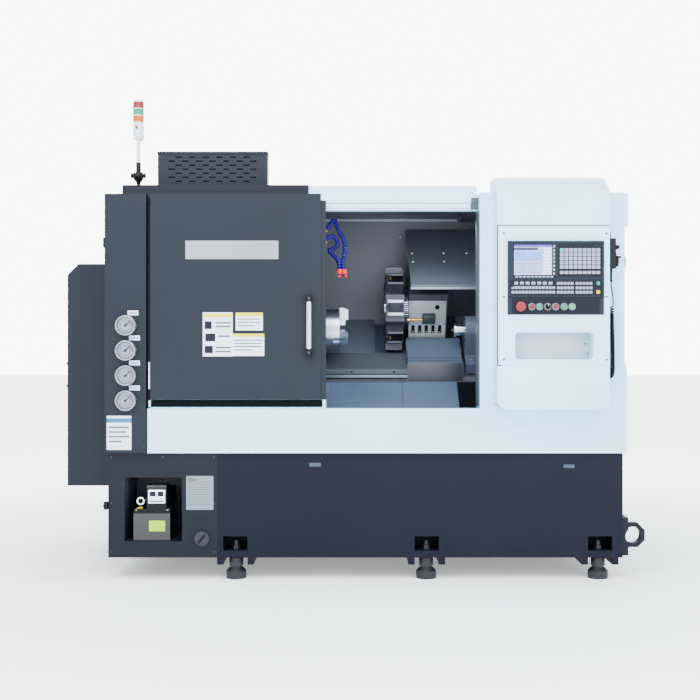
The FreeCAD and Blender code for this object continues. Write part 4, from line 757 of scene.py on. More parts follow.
def make_door():
    """Bare plate, plain labels and the bar handle on the door."""
    single("door_plate", plate((-747, 1448), (-328, 1531), 3, FACE, FACE - 2, 0.8), "bright", "door")
    sticker("door_label_a", -668, -534, 1010, 1208, [(0.04, 0.96, 0.89, 0.97, "yellow"),
        (0.06, 0.3, 0.62, 0.8, "oxide"), (0.42, 0.94, 0.74, 0.78), (0.42, 0.94, 0.66, 0.70),
        (0.08, 0.42, 0.34, 0.52, "oxide"), (0.5, 0.92, 0.44, 0.48), (0.06, 0.34, 0.07, 0.24, "oxide"),
        (0.42, 0.94, 0.18, 0.22), (0.42, 0.94, 0.09, 0.13)])
    sticker("door_label_b", -520, -398, 1127, 1207, [(0.0, 1.0, 0.80, 1.0, "yellow"),
        (0.06, 0.9, 0.60, 0.66), (0.06, 0.94, 0.42, 0.48), (0.06, 0.7, 0.24, 0.30)])
    sticker("door_label_c", -534, -392, 1012, 1112, [(0.0, 1.0, 0.86, 1.0, "yellow"),
        (0.05, 0.95, 0.68, 0.73), (0.05, 0.9, 0.54, 0.59), (0.05, 0.95, 0.40, 0.45),
        (0.05, 0.6, 0.24, 0.29)])
    bar_low, bar_high = (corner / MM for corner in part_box("door_handle"))
    x, y, half = bar_low.x + 13, -750, 13
    z0, z1 = bar_low.z + 38, bar_high.z - 34

    def mounts(bm):
        for low, high in ((bar_low.z, z0), (z1, bar_high.z)):
            add_block(bm, (x - half, y - half, low), (x + half, FACE, high), 5, steps=3)
    grip = single("handle_bar", turned([(11, z0 - 6), (12.6, z0 - 4), (12.6, z1 + 4), (11, z1 + 6)], 28,
        at(x, y)), "handle", "door")
    single("handle_mounts", mounts, "black", "door")
    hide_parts("door_handle")
    single("gap_guide", block((-914, FACE + 3, 863), (-907, FACE + 16, 984), 1), "ring white")
    single("rail_cover", block((-904, -700, 781), (-130, -698.2, 813.4), 0.5), "seam")
    single("rail_ends", blocks(((-914, -703, 781), (-905.5, -690, 811), 1), ((-129, -702, 781),
        (-117, -698.2, 813.4), 1)), "ring white")
    repeat("handle_screws", socket_screw(3.2, 2.4), [(x, -764, bar_low.z + 19), (x, -764, bar_high.z - 17)],
        "screw", "door")


GAUGE_X, GAUGE_LOWEST, GAUGE_PITCH = -1013, 811, 112.7


def make_column():
    """Dials, rims, ticks and tags of the four gauges; the column's plates and latches."""
    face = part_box("gauge_cases")[0].y / MM
    for number in range(4):
        z = GAUGE_LOWEST + GAUGE_PITCH * number
        name = f"gauge_{number + 1}"

        def on_face(depth):
            return toward(FRONT, (GAUGE_X, face + depth, z))
        single(name + "_rim", turned([(39.6, 0), (39.6, 2.5), (41.5, 4), (43.6, 3.4), (45.6, 1), (46.2, -4),
            (45.4, -7), (39.6, -7)], 48, on_face(0), ring=True), "rim")
        single(name + "_dial", turned([(39.8, 0), (39.8, 0.6), (0, 0.6)], 40, on_face(8)), "dial white",
            smooth=False)
        centre = (GAUGE_X, face + 7.3, z)
        repeat_ring(name + "_marks", soft_box(8, 1.7, 0.4, 0), centre, FRONT, 11, 32, "ink", sweep=270,
            start=135, smooth=False)
        repeat_ring(name + "_ticks", soft_box(4, 0.8, 0.4, 0), centre, FRONT, 51, 33.5, "ink", sweep=270,
            start=135, smooth=False)
        repeat_ring(name + "_red_arc", soft_box(2.4, 3.4, 0.3, 0), centre, FRONT, 14, 29, "red ink",
            sweep=52, start=353, smooth=False)
        single(name + "_well", turned([(37.2, 0), (37.2, 1), (39.7, 1), (39.7, 0)], 48, on_face(7.3),
            ring=True), "grey ink", smooth=False)
        single(name + "_scale_ring", turned([(21, 0), (21, 0.4), (24.5, 0.4), (24.5, 0)], 48, on_face(7.35),
            ring=True), "scale grey", smooth=False)
        single(name + "_hub", turned([(5, 0), (4.6, 2), (0, 2.6)], 20, on_face(3)), "oxide",
            f"gauge_needle_{number + 1}")
        tag_x = -983 if number == 3 else -976
        single(name + "_tag", plate((tag_x - 24, z + 46), (tag_x + 24, z + 67), 2, FACE, FACE - 0.8, 0.3,
            steps=3), "white plastic", smooth=False)
        single(name + "_tag_line", block((tag_x - 18, FACE - 1.1, z + 54),
            (tag_x + 18, FACE - 0.7, z + 59)), "blue ink", smooth=False)
    sticker("column_plate", -1101, -990, 589, 742, [(0.0, 1.0, 0.80, 0.93, "blue ink"),
        (0.08, 0.9, 0.64, 0.69), (0.08, 0.8, 0.50, 0.55), (0.08, 0.92, 0.36, 0.41),
        (0.08, 0.6, 0.22, 0.27)], "root")
    single("column_latch_low", blocks(((-1116, FACE + 2, 318), (-1099, FACE + 24, 354), 2),
        ((-1120, FACE + 6, 328), (-1110, FACE + 18, 344), 3)), "black")
    single("gap_roller", block((-914, FACE + 4, 1695), (-906.5, FACE + 18, 1722), 2), "seam")
    single("column_hinge_high", block((-1120, FACE + 4, 1500), (-1110.6, FACE + 20, 1546), 3), "black")
    single("housing_latch", block((1228, FACE + 2, 1410), (1238, FACE + 22, 1460), 2.5), "black")
    repeat("column_screws", dome_screw(4, 1.6), lattice((-1103, -933), FACE, 600), "screw dark")


# --- base: recess, rating plate, latches, drain plug -----------------------------------------

BASE_FRONT, PUMP_FRONT = -690, -666.6


def make_base():
    """Oil tank, pump face and dial in the recess; blank rating plate; latches, drain plug and screws."""
    single("rating_plate", plate((-746, 316), (-623, 469), 4, BASE_FRONT, -691.4, 0.4), "bright dull")
    repeat("rating_rivets", dome_screw(2.6, 1.4), lattice((-740, -629), -691.4, (323, 462)), "screw")
    rules = [((-735, -691.7, z), (-690 if z % 3 else -634, -691.3, z + 2.4), 0) for z in range(340, 440,
        11)]
    rules += [((-684, -691.7, z), (-634, -691.3, z + 2.4), 0) for z in range(340, 440, 11) if z % 3]
    single("rating_rules", blocks(*rules, ((-735, -691.7, 446), (-700, -691.3, 460), 0)), "grey ink",
        smooth=False)
    single("base_latches", blocks(((-189, -692, 511), (-137, -689.8, 529), 1.2), ((960, -692, 505),
        (1010, -689.8, 521), 1.2)), "latch")
    tank_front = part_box("lube_tank")[0].y / MM
    single("tank_oil", block((-983, -667, 182), (-827, -557, 232), 3), "oil")
    single("tank_label", plate((-917, 216), (-845, 264), 3, tank_front, tank_front - 0.6), "lime",
        smooth=False)
    single("tank_lid", block((-990, -674, 296), (-820, -550, 306), 3), "black")
    single("pump_bezel", block((-929.5, -665.5, 306), (-838.5, -655, 423), 4), "black")
    single("pump_face", plate((-922, 342), (-846, 402), 3, -664, PUMP_FRONT, 0.4), "white plastic",
        smooth=False)
    single("pump_fields", panels(-666.4, -667.4, 0, (-916, 374, -888, 396), (-880, 374, -852, 396),
        (-916, 349, -852, 354)), "panel dark", smooth=False)
    repeat("pump_red_keys", dome_screw(4, 1.6), [(-906, PUMP_FRONT, 363), (-862, PUMP_FRONT, 363)],
        "red ink")
    repeat("pump_blue_keys", dome_screw(4, 1.6), [(-884, PUMP_FRONT, 363)], "blue ink")
    repeat("pump_ear_screws", socket_screw(4.5, 4), [(-976, -666, 312), (-834, -666, 312)], "screw")
    single("oil_dial_rim", turned([(12, 0), (12, 1), (17.4, 1), (17.8, -5), (12, -5)], 32, toward(FRONT,
        (-956, -668, 353)), ring=True), "chrome")
    repeat("oil_dial_face", flat_disc(12.4), [(-956, -667.6, 353)], "dial white", smooth=False)
    single("oil_dial_hand", block((-957, -669, 346), (-955, -668.2, 362)), "ink", smooth=False)
    single("filler_cap", turned([(11, 0), (12, 3), (12, 12), (9, 16), (0, 16)], 20, at(-962, -640, 306)),
        "yellow")

    def pipes(bm):
        for x in (-962, -974):
            add_lathe(bm, [(3, 180), (3, 296)], 12, at(x, -655))
    single("tank_pipes", pipes, "brass")
    plug = (-675, -697, 186)
    single("drain_plug_face", turned([(33, 0), (32, 2.4), (27, 3), (26, 1.4), (0, 1.4)], 40, toward(FRONT,
        plug)), "plug")

    def plug_bar(bm):
        turn = at(*plug) @ Matrix.Rotation(math.radians(-52), 4, "Y")
        for across, wide, out, material in ((-4.6, 2.2, 4.2, 0), (0, 3.6, 3.0, 1), (4.6, 2.2, 4.2, 0)):
            add_block(bm, (-25, -out, across - wide / 2), (25, -1, across + wide / 2), 0.4, turn,
                material=material)
    single("drain_plug_slot", plug_bar, "plug edge", smooth=True, materials=("seam",))
    screws = lattice((-1085, -620), BASE_FRONT, (125, 345, 556))
    repeat("service_screws", dome_screw(5, 2), screws + [(-850, BASE_FRONT, 556)], "screw dark")


# --- tower light and roof --------------------------------------------------------------------

def make_tower():
    """Stacked lenses on their pole, with the folding knuckle under it."""
    x, y = -998, -500
    place = at(x, y)
    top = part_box("tower_light")[1].z / MM

    def body(bm):
        add_lathe(bm, [(9, 1916), (9, 2018), (20, 2024), (24.6, 2030), (24.6, 2104), (23, 2106)], 36, place)
        add_lathe(bm, [(24.4, top - 10), (24.6, top - 3), (20, top), (0, top)], 36, place)
        for joint in (2136.5, 2168.5):
            add_lathe(bm, [(23.2, joint - 1.6), (25, joint - 1.6), (25, joint + 1.6), (23.2, joint + 1.6)],
                36, place, ring_shape=True)

    def lens_part(z0, z1):
        """A lens between two heights with grooves round it."""
        rings, count = [(23.4, z0)], 5
        for i in range(count):
            z = z0 + (z1 - z0) * (i + 0.5) / count
            rings += [(24.8, z), (24.2, z + (z1 - z0) * 0.45 / count)]
        return turned(rings + [(23.4, z1)], 36, place)

    def knuckle(bm):
        turn = toward(RIGHT, (x, y, 1856))
        add_lathe(bm, [(16, -12.4), (16, 12.4)], 28, turn)
        add_lathe(bm, [(6, -34), (6, 34)], 16, turn)
        for side in (-1, 1):
            add_lathe(bm, [(10, 0), (12, 1.5), (12, 7.5), (9, 9)], 18, toward((side, 0, 0),
                (x + side * 26, y, 1856)))
        add_lathe(bm, [(14, 1862), (11.5, 1880), (11.5, 1914), (10, 1918)], 24, place)

    def base(bm):
        add_lathe(bm, [(16, 1797.5), (15, 1802), (8, 1806), (8, 1815), (13, 1828), (20, 1836), (22, 1838.5),
            (22, 1839.5)], 32, place)
        for side in (-1, 1):
            add_block(bm, (x - 22.5 if side < 0 else x + 13.2, y - 16, 1838),
                (x - 13.2 if side < 0 else x + 22.5, y + 16, 1870), 4, steps=3)
    stand = single("tower_stand", base, "black")
    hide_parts("tower_base")
    pole = single("tower_body", body, "white plastic", "tower_light")
    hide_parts("tower_light")
    single("tower_pole", turned([(8.8, 1914), (8.8, 2020)], 24, place), "rim", "tower_light")
    single("tower_label", block((-1008, -525.6, 2072), (-996, -524, 2086), 0.2), "grey ink", "tower_light")
    single("tower_knuckle", knuckle, "black", "tower_light")
    for z0, z1, colour in ((2169, 2200, "red"), (2137, 2168, "green"), (2106, 2136, "orange")):
        single(f"tower_{colour}_lens", lens_part(z0, z1), f"{colour} lens", "tower_light")


def make_roof():
    """Screws of the raised roof, the vent box's lid and louvres, and the left end's louvres and handle."""
    repeat("roof_top_screws", dome_screw(6, 2.4), lattice((-1030, -800, -500, -220), (-590, 0, 600), 1797),
        "screw dark", facing="up")
    single("vent_lid", block((-908, -513, 1955), (-390, -428, 1968), 2), "door")
    repeat("vent_screws", dome_screw(4, 1.6), lattice((-896, -402), -510, (1812, 1946)), "screw dark")
    # The vent's back and ends have rows of punched louvres, as its front has slots.
    hood = soft_box(52, 7, 5, 2)
    repeat("vent_back_louvres", hood, lattice(range(-850, -430, 70), -430, range(1830, 1940, 26)), "door",
        facing="back")
    repeat("end_louvres", soft_box(7, 110, 6, 2.4), lattice(-1341, (-240, -60, 120), range(560, 1300, 42)),
        "door", facing="left")
    repeat("end_screws", dome_screw(5, 2.4), lattice(-1341, (-440, -30, 380), (420, 1370)), "screw dark",
        facing="left")
    single("end_cover_lift", blocks(((-1352, -380, 860), (-1341, -366, 980), 3), ((-1368, -380, 860),
        (-1350, -366, 872), 3), ((-1368, -380, 968), (-1350, -366, 980), 3)), "black")


BACK, CABINET_BACK = 620, 883


def make_back():
    """Cabinet doors, locks, hinges, louvres and cable glands at the back."""
    y = CABINET_BACK
    single("cabinet_doors", blocks(*[((left, y, 612), (right, y + 3, 1690), 1.2) for left,
        right in ((108, 620), (630, 1142))]), "door")
    locks = lattice((592, 658), y + 3, (800, 1150, 1500))
    repeat("cabinet_locks", turned([(15, 0), (15, 3), (13, 5), (5, 5), (5, 2), (0, 2)], 24), locks,
        "chrome", facing="back")
    repeat("cabinet_hinges", soft_box(16, 60, 12, 4), lattice((112, 1138), y + 1, (720, 1150, 1580)),
        "black", facing="back")
    repeat("cabinet_louvres", soft_box(120, 9, 7, 3), lattice((240, 400, 850, 1010), y + 3, range(700, 900,
        28)), "door", facing="back")
    repeat("cabinet_top_louvres", soft_box(120, 9, 7, 3), lattice((240, 400, 850, 1010), y + 3, range(1480,
        1640, 28)), "door", facing="back")
    repeat("cabinet_glands", turned([(17, 0), (17, 8), (14, 8), (14, 20), (10, 26), (0, 26)], 12),
        lattice((200, 260, 320, 380), 750, 600), "black", facing=(math.pi, 0, 0))
    repeat("back_screws", dome_screw(6, 2.6), lattice(range(-1060, 60, 180), BACK, (620, 1700)),
        "screw dark", facing="back")
    single("access_cover", block((-980, BACK, 760), (-420, 623, 1420), 1.5), "door")
    repeat("access_louvres", soft_box(150, 9, 7, 3), lattice((-860, -700, -540), 623, range(1180, 1380,
        28)), "door", facing="back")
    repeat("access_screws", dome_screw(6, 2.6), lattice((-966, -700, -434), 623, (774, 1406)), "screw",
        facing="back")
    single("base_seams", blocks(((-603, 640, 104), (-600, 642, 570), 0.4), ((300, 640, 104),
        (303, 642, 570), 0.4)), "oxide")


# --- control hood ----------------------------------------------------------------------------

BUTTON_ROW = 1228           # height of the push buttons' middles
STOP_X, LAMP_X, BUTTONS_X = 738.6, 964, (788.5, 822, 892.5, 929)


def make_controls():
    """Screen, soft keys, key fields, buttons' trim, screws and the pocket's rounded mouth."""
    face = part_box("control_unit")[0].y / MM
    seat = face - 0.4
    repeat("panel_screws", dome_screw(4.6, 2), lattice((668, 1117), -854.1, (996, 1271, 1549)),
        "screw dark")
    single("panel_gap", panels(-849.8, -853.6, 0, (638.6, 972, 643, 1585), (638.6, 1581, 1130, 1585),
        (638.6, 970, 660, 974)), "seam", smooth=False)
    # The unit's bezel: a raised rim round the whole unit, and ribs between its fields.
    single("unit_rims", panels(face + 0.2, face - 2.5, 1, (683.5, 1509, 1104, 1515),
        (683.5, 1269, 690, 1515), (1097.5, 1269, 1104, 1515), (683.5, 1345, 1104, 1350),
        (683.5, 1269, 1104, 1273)), "panel grey")
    single("unit_wells", panels(face + 0.3, face - 0.5, 0, (706, 1354, 893, 1501), (904, 1358, 1094, 1503),
        (694, 1277, 1096, 1341)), "panel dark", smooth=False)
    # Lit fields of the screen, from its top strip to its keys.
    left, right, low, high = 711, 876, 1366, 1498
    y = face - 0.6
    shown = [((left, y - 0.4, low), (right, y, high), 0, "screen low"),
             ((left, y - 0.6, high - 9), (right, y, high), 0, "screen violet"),
             ((left, y - 0.6, high - 24), (left + 104, y, high - 12), 0, "screen navy"),
             ((left, y - 0.6, 1434), (right - 40, y, 1470), 0, "screen mid"),
             ((left, y - 0.8, 1431), (right - 40, y, 1433.5), 0, "screen blue"),
             ((left + 60, y - 0.8, low + 6), (left + 62, y, 1430), 0, "screen blue"),
             ((right - 38, y - 0.7, low + 4), (right - 2, y, high - 12), 0, "screen key")]
    for index, (one, two, edge, finish) in enumerate(shown):
        single(f"screen_field_{index}", block(one, two, edge), finish, "root", False)
    rows = (1376, 1386, 1396, 1406, 1416, 1440, 1450, 1460)
    repeat("screen_lines", block((0, -0.8, 0), (44, 0.8, 0.2)), lattice(left + 8, y - 0.9, rows),
        "screen ink", smooth=False)
    repeat("screen_lines_right", block((0, -0.8, 0), (50, 0.8, 0.2)), lattice(left + 68, y - 0.9, rows),
        "screen ink", smooth=False)
    repeat("screen_rows", soft_box(33, 1.2, 0.3, 0), lattice(right - 20, y - 0.8, range(1384, 1484, 15)),
        "screen navy", smooth=False)
    key = soft_box(13.2, 6.4, 2.6, 1.2)
    repeat("soft_keys_low", key, lattice(range(722, 880, 17), seat, 1358), "key")
    repeat("soft_keys_side", soft_box(8.5, 11.5, 2.6, 1.2), lattice(885, seat, range(1372, 1500, 17)),
        "key")
    # Data keys, machine keys and their groups.
    cell = soft_box(16.6, 16.4, 2.8, 1.6)
    places = grid(909, 1088, 9, 1392, 1484, 5, seat)
    repeat("data_keys", cell, places[:-9] + places[-8:], "key")
    repeat("cyan_key", cell, places[-9:-8], "cyan")
    repeat("page_keys", soft_box(16.6, 13.5, 2.8, 1.6), grid(909, 1088, 9, 1369, 1385, 1, seat), "key")
    single("card_slot", block((1060, face - 1.6, 1488), (1090, face, 1497), 1.2), "oxide")
    small = soft_box(12.6, 12.2, 2.6, 1.4)
    fields = [(698, 891, 13, 1281, 1321, 2), (896, 972, 5, 1281, 1339, 3), (978, 1054, 5, 1281, 1339, 3)]
    keys = [place for a, b, n, c, d, m in fields for place in grid(a, b, n, c, d, m, seat)]
    repeat("machine_keys", small, keys, "key")
    wide_keys = [(720 + 25 * n, seat, 1330.5) for n in range(7)]
    repeat("wide_keys", soft_box(17, 12.5, 2.6, 1.4), wide_keys, "key")
    repeat("dark_key", small, [(703, seat, 1318)], "oxide")
    repeat("start_key", soft_box(16, 16, 3, 2), [(1078, seat, 1330)], "green button")
    repeat("hold_key", soft_box(16, 16, 3, 2), [(1078, seat, 1292)], "key yellow")
    # Legends: a short dark bar on each key.
    mark = soft_box(6, 1.3, 0.3, 0)
    repeat("key_marks", mark, [(x, face - 3.3, z + 1) for x, _, z in places], "grey ink", smooth=False)
    repeat("machine_key_marks", mark, [(x, face - 3.1, z) for x, _, z in keys + wide_keys], "grey ink",
        smooth=False)
    # Button plate: end strips, silver bezels, lamp lens and the selector's pointer.
    bezel_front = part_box("button_plate")[0].y / MM
    plate_face = bezel_front + 6
    single("button_plate_ends", panels(plate_face + 0.1, plate_face - 0.8, 0.3, (684, 1196, 702, 1266),
        (1085, 1196, 1103, 1266)), "panel grey")
    repeat("button_bezels", turned([(12.4, 0), (12.4, 1), (13.4, 1.8), (15.2, 0.6), (15.6, -5), (12.4, -5)],
        32, ring=True), lattice((788.5, 822, 858, 892.5, 929, 964), bezel_front, BUTTON_ROW), "rim")
    stop_low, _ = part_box("emergency_stop")
    for number, x in enumerate(BUTTONS_X, 1):
        cap_low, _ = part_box(f"push_button_{number}")
        colour = "red" if number in (1, 3) else "green"
        single(f"button_{number}_crown", turned([(11.2, 0), (11.2, 0.8), (9.4, 1.4), (8.6, 0.6), (0, 0.9)],
            28, toward(FRONT, (x, cap_low.y / MM, BUTTON_ROW))), f"{colour} button",
            f"push_button_{number}")
    single("stop_crown", turned([(21, -14.6), (22, -13), (22, -5), (20.4, -1.6), (16, 0.6), (8, 1.4),
        (0, 1.6)], 40, toward(FRONT, (STOP_X, stop_low.y / MM, BUTTON_ROW))), "stop red", "emergency_stop")
    single("pilot_lamp", turned([(11.8, -4), (11.8, 1), (10, 3), (5, 4.4), (0, 4.8)], 32, toward(FRONT,
        (LAMP_X, bezel_front, BUTTON_ROW))), "green lamp")
    mode_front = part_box("mode_switch")[0].y / MM
    single("mode_pointer", block((857.1, mode_front - 0.5, 1230), (858.9, mode_front + 0.1, 1238.5)),
        "white plastic", "mode_switch", smooth=False)
    # Quadrants that round the corners of the pocket's square mouth.
    radius, steps = 18, 6

    def corners(bm):
        for x, z, quarter in ((717, 998, 2), (1061, 998, 3), (1061, 1116, 0), (717, 1116, 1)):
            cx = x + (radius if x < 900 else -radius)
            cz = z + (radius if z < 1050 else -radius)
            angles = [math.pi / 2 * (quarter + i / steps) for i in range(steps + 1)]
            points = [(x, z)] + [(cx + radius * math.cos(angle), cz + radius * math.sin(angle))
                                 for angle in angles]
            add_prism(bm, [(px, -854.1, pz) for px, pz in points], [(px, -770, pz) for px, pz in points])
    single("pocket_corners", corners, "white")
    # A greyer lining on the pocket's back paints the shade in the recess.
    single("pocket_lining", block((719, -766.8, 1000), (1059, -765, 1114), 0.4), "pocket")
    repeat("pocket_screws", dome_screw(4, 2), [(1043, -766.8, 1066), (1052, -766.8, 1022)], "screw dark")
    repeat("hood_side_screws", dome_screw(4, 2), lattice(639, (-830, -730), (820, 1240, 1660)), "screw",
        facing="left")


def make_pendant():
    """Hand wheel dial marks, knob marks and the gland's collar."""
    x = 1160.3
    repeat_ring("wheel_marks", soft_box(3, 0.7, 0.5, 0), (x - 0.3, -806, 1431), RIGHT, 51, 30, "white ink",
        smooth=False)
    rib = turned([(0.9, 0), (0.9, 15), (0.5, 15.6)], 6)
    repeat_ring("wheel_ribs", rib, (x + 1, -806, 1431), RIGHT, 40, 24, "black", "mpg_wheel")
    for name, y in (("step", -826), ("axis", -786)):
        repeat_ring(f"{name}_ribs", rib, (x + 1, y, 1492), RIGHT, 16, 8, "black", f"mpg_{name}_knob")
        repeat_ring(f"{name}_marks", soft_box(2.4, 0.9, 0.5, 0), (x - 0.3, y, 1492), RIGHT, 6, 12,
            "white ink", sweep=180, smooth=False)
    single("pendant_stop", turned([(6, 0), (6, 3), (7.6, 5), (7.6, 9), (5, 11)], 20, toward(RIGHT,
        (1160, -806, 1462))), "stop red")
    single("lead_relief", turned([(3.4, 1338), (6.2, 1341), (6.4, 1346), (4.9, 1349), (5.2, 1375.5),
        (6.4, 1397)], 20, at(1143, -826)), "rubber")


# --- work area -------------------------------------------------------------------------------

SLANT = math.radians(30)
SPINDLE = (-230, 1137)
AXIS = Vector((0, *SPINDLE))
UP_SLANT = Vector((0, math.cos(SLANT), math.sin(SLANT)))
OFF_SLANT = Vector((0, -math.sin(SLANT), math.cos(SLANT)))
GUARD_TOP = 243.0


def leaned(x, v, w):
    """A point given from the spindle axis: v up the slant, w square off it."""
    return Vector((x, 0, 0)) + AXIS + UP_SLANT * v + OFF_SLANT * w


LEAN = at(*AXIS) @ Matrix.Rotation(SLANT, 4, "X")


def leaned_blocks(*items):
    """Rounded blocks given in the slanted frame (X, v, w)."""
    def build(bm):
        for low, high, edge, *material in items:
            add_block(bm, low, high, edge, LEAN, material=material[0] if material else 0)
    return build


TURRET_AXIS = (-39.47, 1247)
BLOCK_RING = (174, *TURRET_AXIS), LEFT, 8, 160      # centre, direction, number and radius
TOOL_RING = (174, *TURRET_AXIS), LEFT, 4, 150


def make_turret():
    """The tool disc's bolts and cap, its blocks' strips, bolts and tools, and the flange behind."""
    face = 172
    single("flange_ring", turned([(60, 0), (60, 25), (102, 25), (104, 23), (104, 0)], 64, toward(RIGHT,
        (264, *TURRET_AXIS)), ring=True), "silver", "turret")
    repeat_ring("flange_rim_bolts", turned([(5.4, 0), (5.4, 2), (3, 2), (3, 0.6), (0, 0.6)], 12,
        toward(RIGHT, (102.6, 0, 0))), (276, *TURRET_AXIS), LEFT, 16, 0, "oxide", "turret")
    repeat_ring("disc_bolts", socket_screw(7, 7), (face, *TURRET_AXIS), LEFT, 8, 52, "oxide", "turret",
        start=22.5)
    repeat_ring("disc_outer_bolts", socket_screw(5, 5), (face, *TURRET_AXIS), LEFT, 16, 128, "oxide",
        "turret", start=11.25)
    single("disc_cap", turned([(74, 0), (74, 3), (71, 5), (40, 5), (36, 9), (0, 9)], 56, toward(LEFT,
        (face, *TURRET_AXIS))), "silver", "turret")
    # On every block: two bright strips, a dark flat between them, and bolts across it.
    repeat_ring("block_wedges", blocks(((46.2, -38, -84), (47.6, -25, -7), 0.6), ((46.2, 25, -84),
        (47.6, 38, -7), 0.6)), *BLOCK_RING, "bright", "turret", "tool_steel")
    repeat_ring("block_faces", block((46.05, -23, -82), (46.7, 23, -9), 0.2), *BLOCK_RING, "oxide",
        "turret")

    def radial_bolts(bm):
        for across in (-16, 0, 16):
            for along_x in (-14, -76):
                turn = toward(RIGHT, (45.8, across, along_x))
                add_lathe(bm, [(5.4, 0), (5.4, 4), (4.8, 5), (2.8, 5), (2.8, 2), (0, 2)], 12, turn)
    repeat_ring("block_bolts", radial_bolts, *BLOCK_RING, "oxide", "turret")
    repeat_ring("turning_tools", block((12, -12, -22.5), (62, 12, -1.5), 0.8), *TOOL_RING, "block",
        "turret", start=45)
    repeat_ring("inserts", block((58, -11, -24), (66, 11, -19), 0.6), *TOOL_RING, "brass", "turret",
        "tool_steel", start=45)
    repeat_ring("flange_bolts", socket_screw(6, 6), (270, *TURRET_AXIS), RIGHT, 12, 94, "oxide", "turret")


def make_slide():
    """Front plate, plug, valve, pipe and slotted foot of the turret housing."""
    turn = (math.pi / 2 + SLANT, 0, 0)
    teeth = [(291, 306), (322, 340), (356, 373), (389, 407), (423, 441), (457, 478)]
    sheets = [((291, 135, -48), (478, 140, 91), 1.5), ((291, 135, -121), (478, 140, -95), 1.5)]
    sheets += [((low, 135, -97), (high, 140, -46), 1.5) for low, high in teeth]
    single("housing_plate", leaned_blocks(*sheets), "cream", "turret_slide")
    slots = [((low, 136, -94), (low + 16, 138.4, -50), 0) for _, low in teeth[:-1]]
    single("foot_slots", leaned_blocks(*slots), "seam", "turret_slide")
    repeat("foot_bolts", socket_screw(8.5, 9), [leaned(low + 8, 138, -66) for _, low in teeth[:-1]],
        "oxide", "turret_slide", facing=turn)
    repeat("foot_washers", dome_screw(6, 3), [leaned(low + 8, 138, -88) for _, low in teeth[:-1]], "bright",
        "turret_slide", facing=turn)
    repeat("housing_screws", socket_screw(4, 3), [leaned(x, 135, w) for x in (300, 469) for w in (82, -40)],
        "screw", "turret_slide", facing=turn)
    repeat("housing_connector", turned([(11.5, 0), (11.5, 5), (9, 8), (6, 8), (6, 4), (0, 4)], 28),
        [leaned(432, 135, 58)], "black", "turret_slide", facing=turn)
    single("valve_block", leaned_blocks(((358, 108, -27), (423, 136, 23), 3), ((366, 104, -18),
        (386, 110, 14), 2)), "valve", "turret_slide")
    single("valve_pipe", turned([(5, 0), (5, 60), (7.5, 60), (7.5, 68), (10, 68), (10, 75), (6, 77)], 20,
        toward(LEFT, leaned(358, 122, -8))), "brass", "turret_slide")


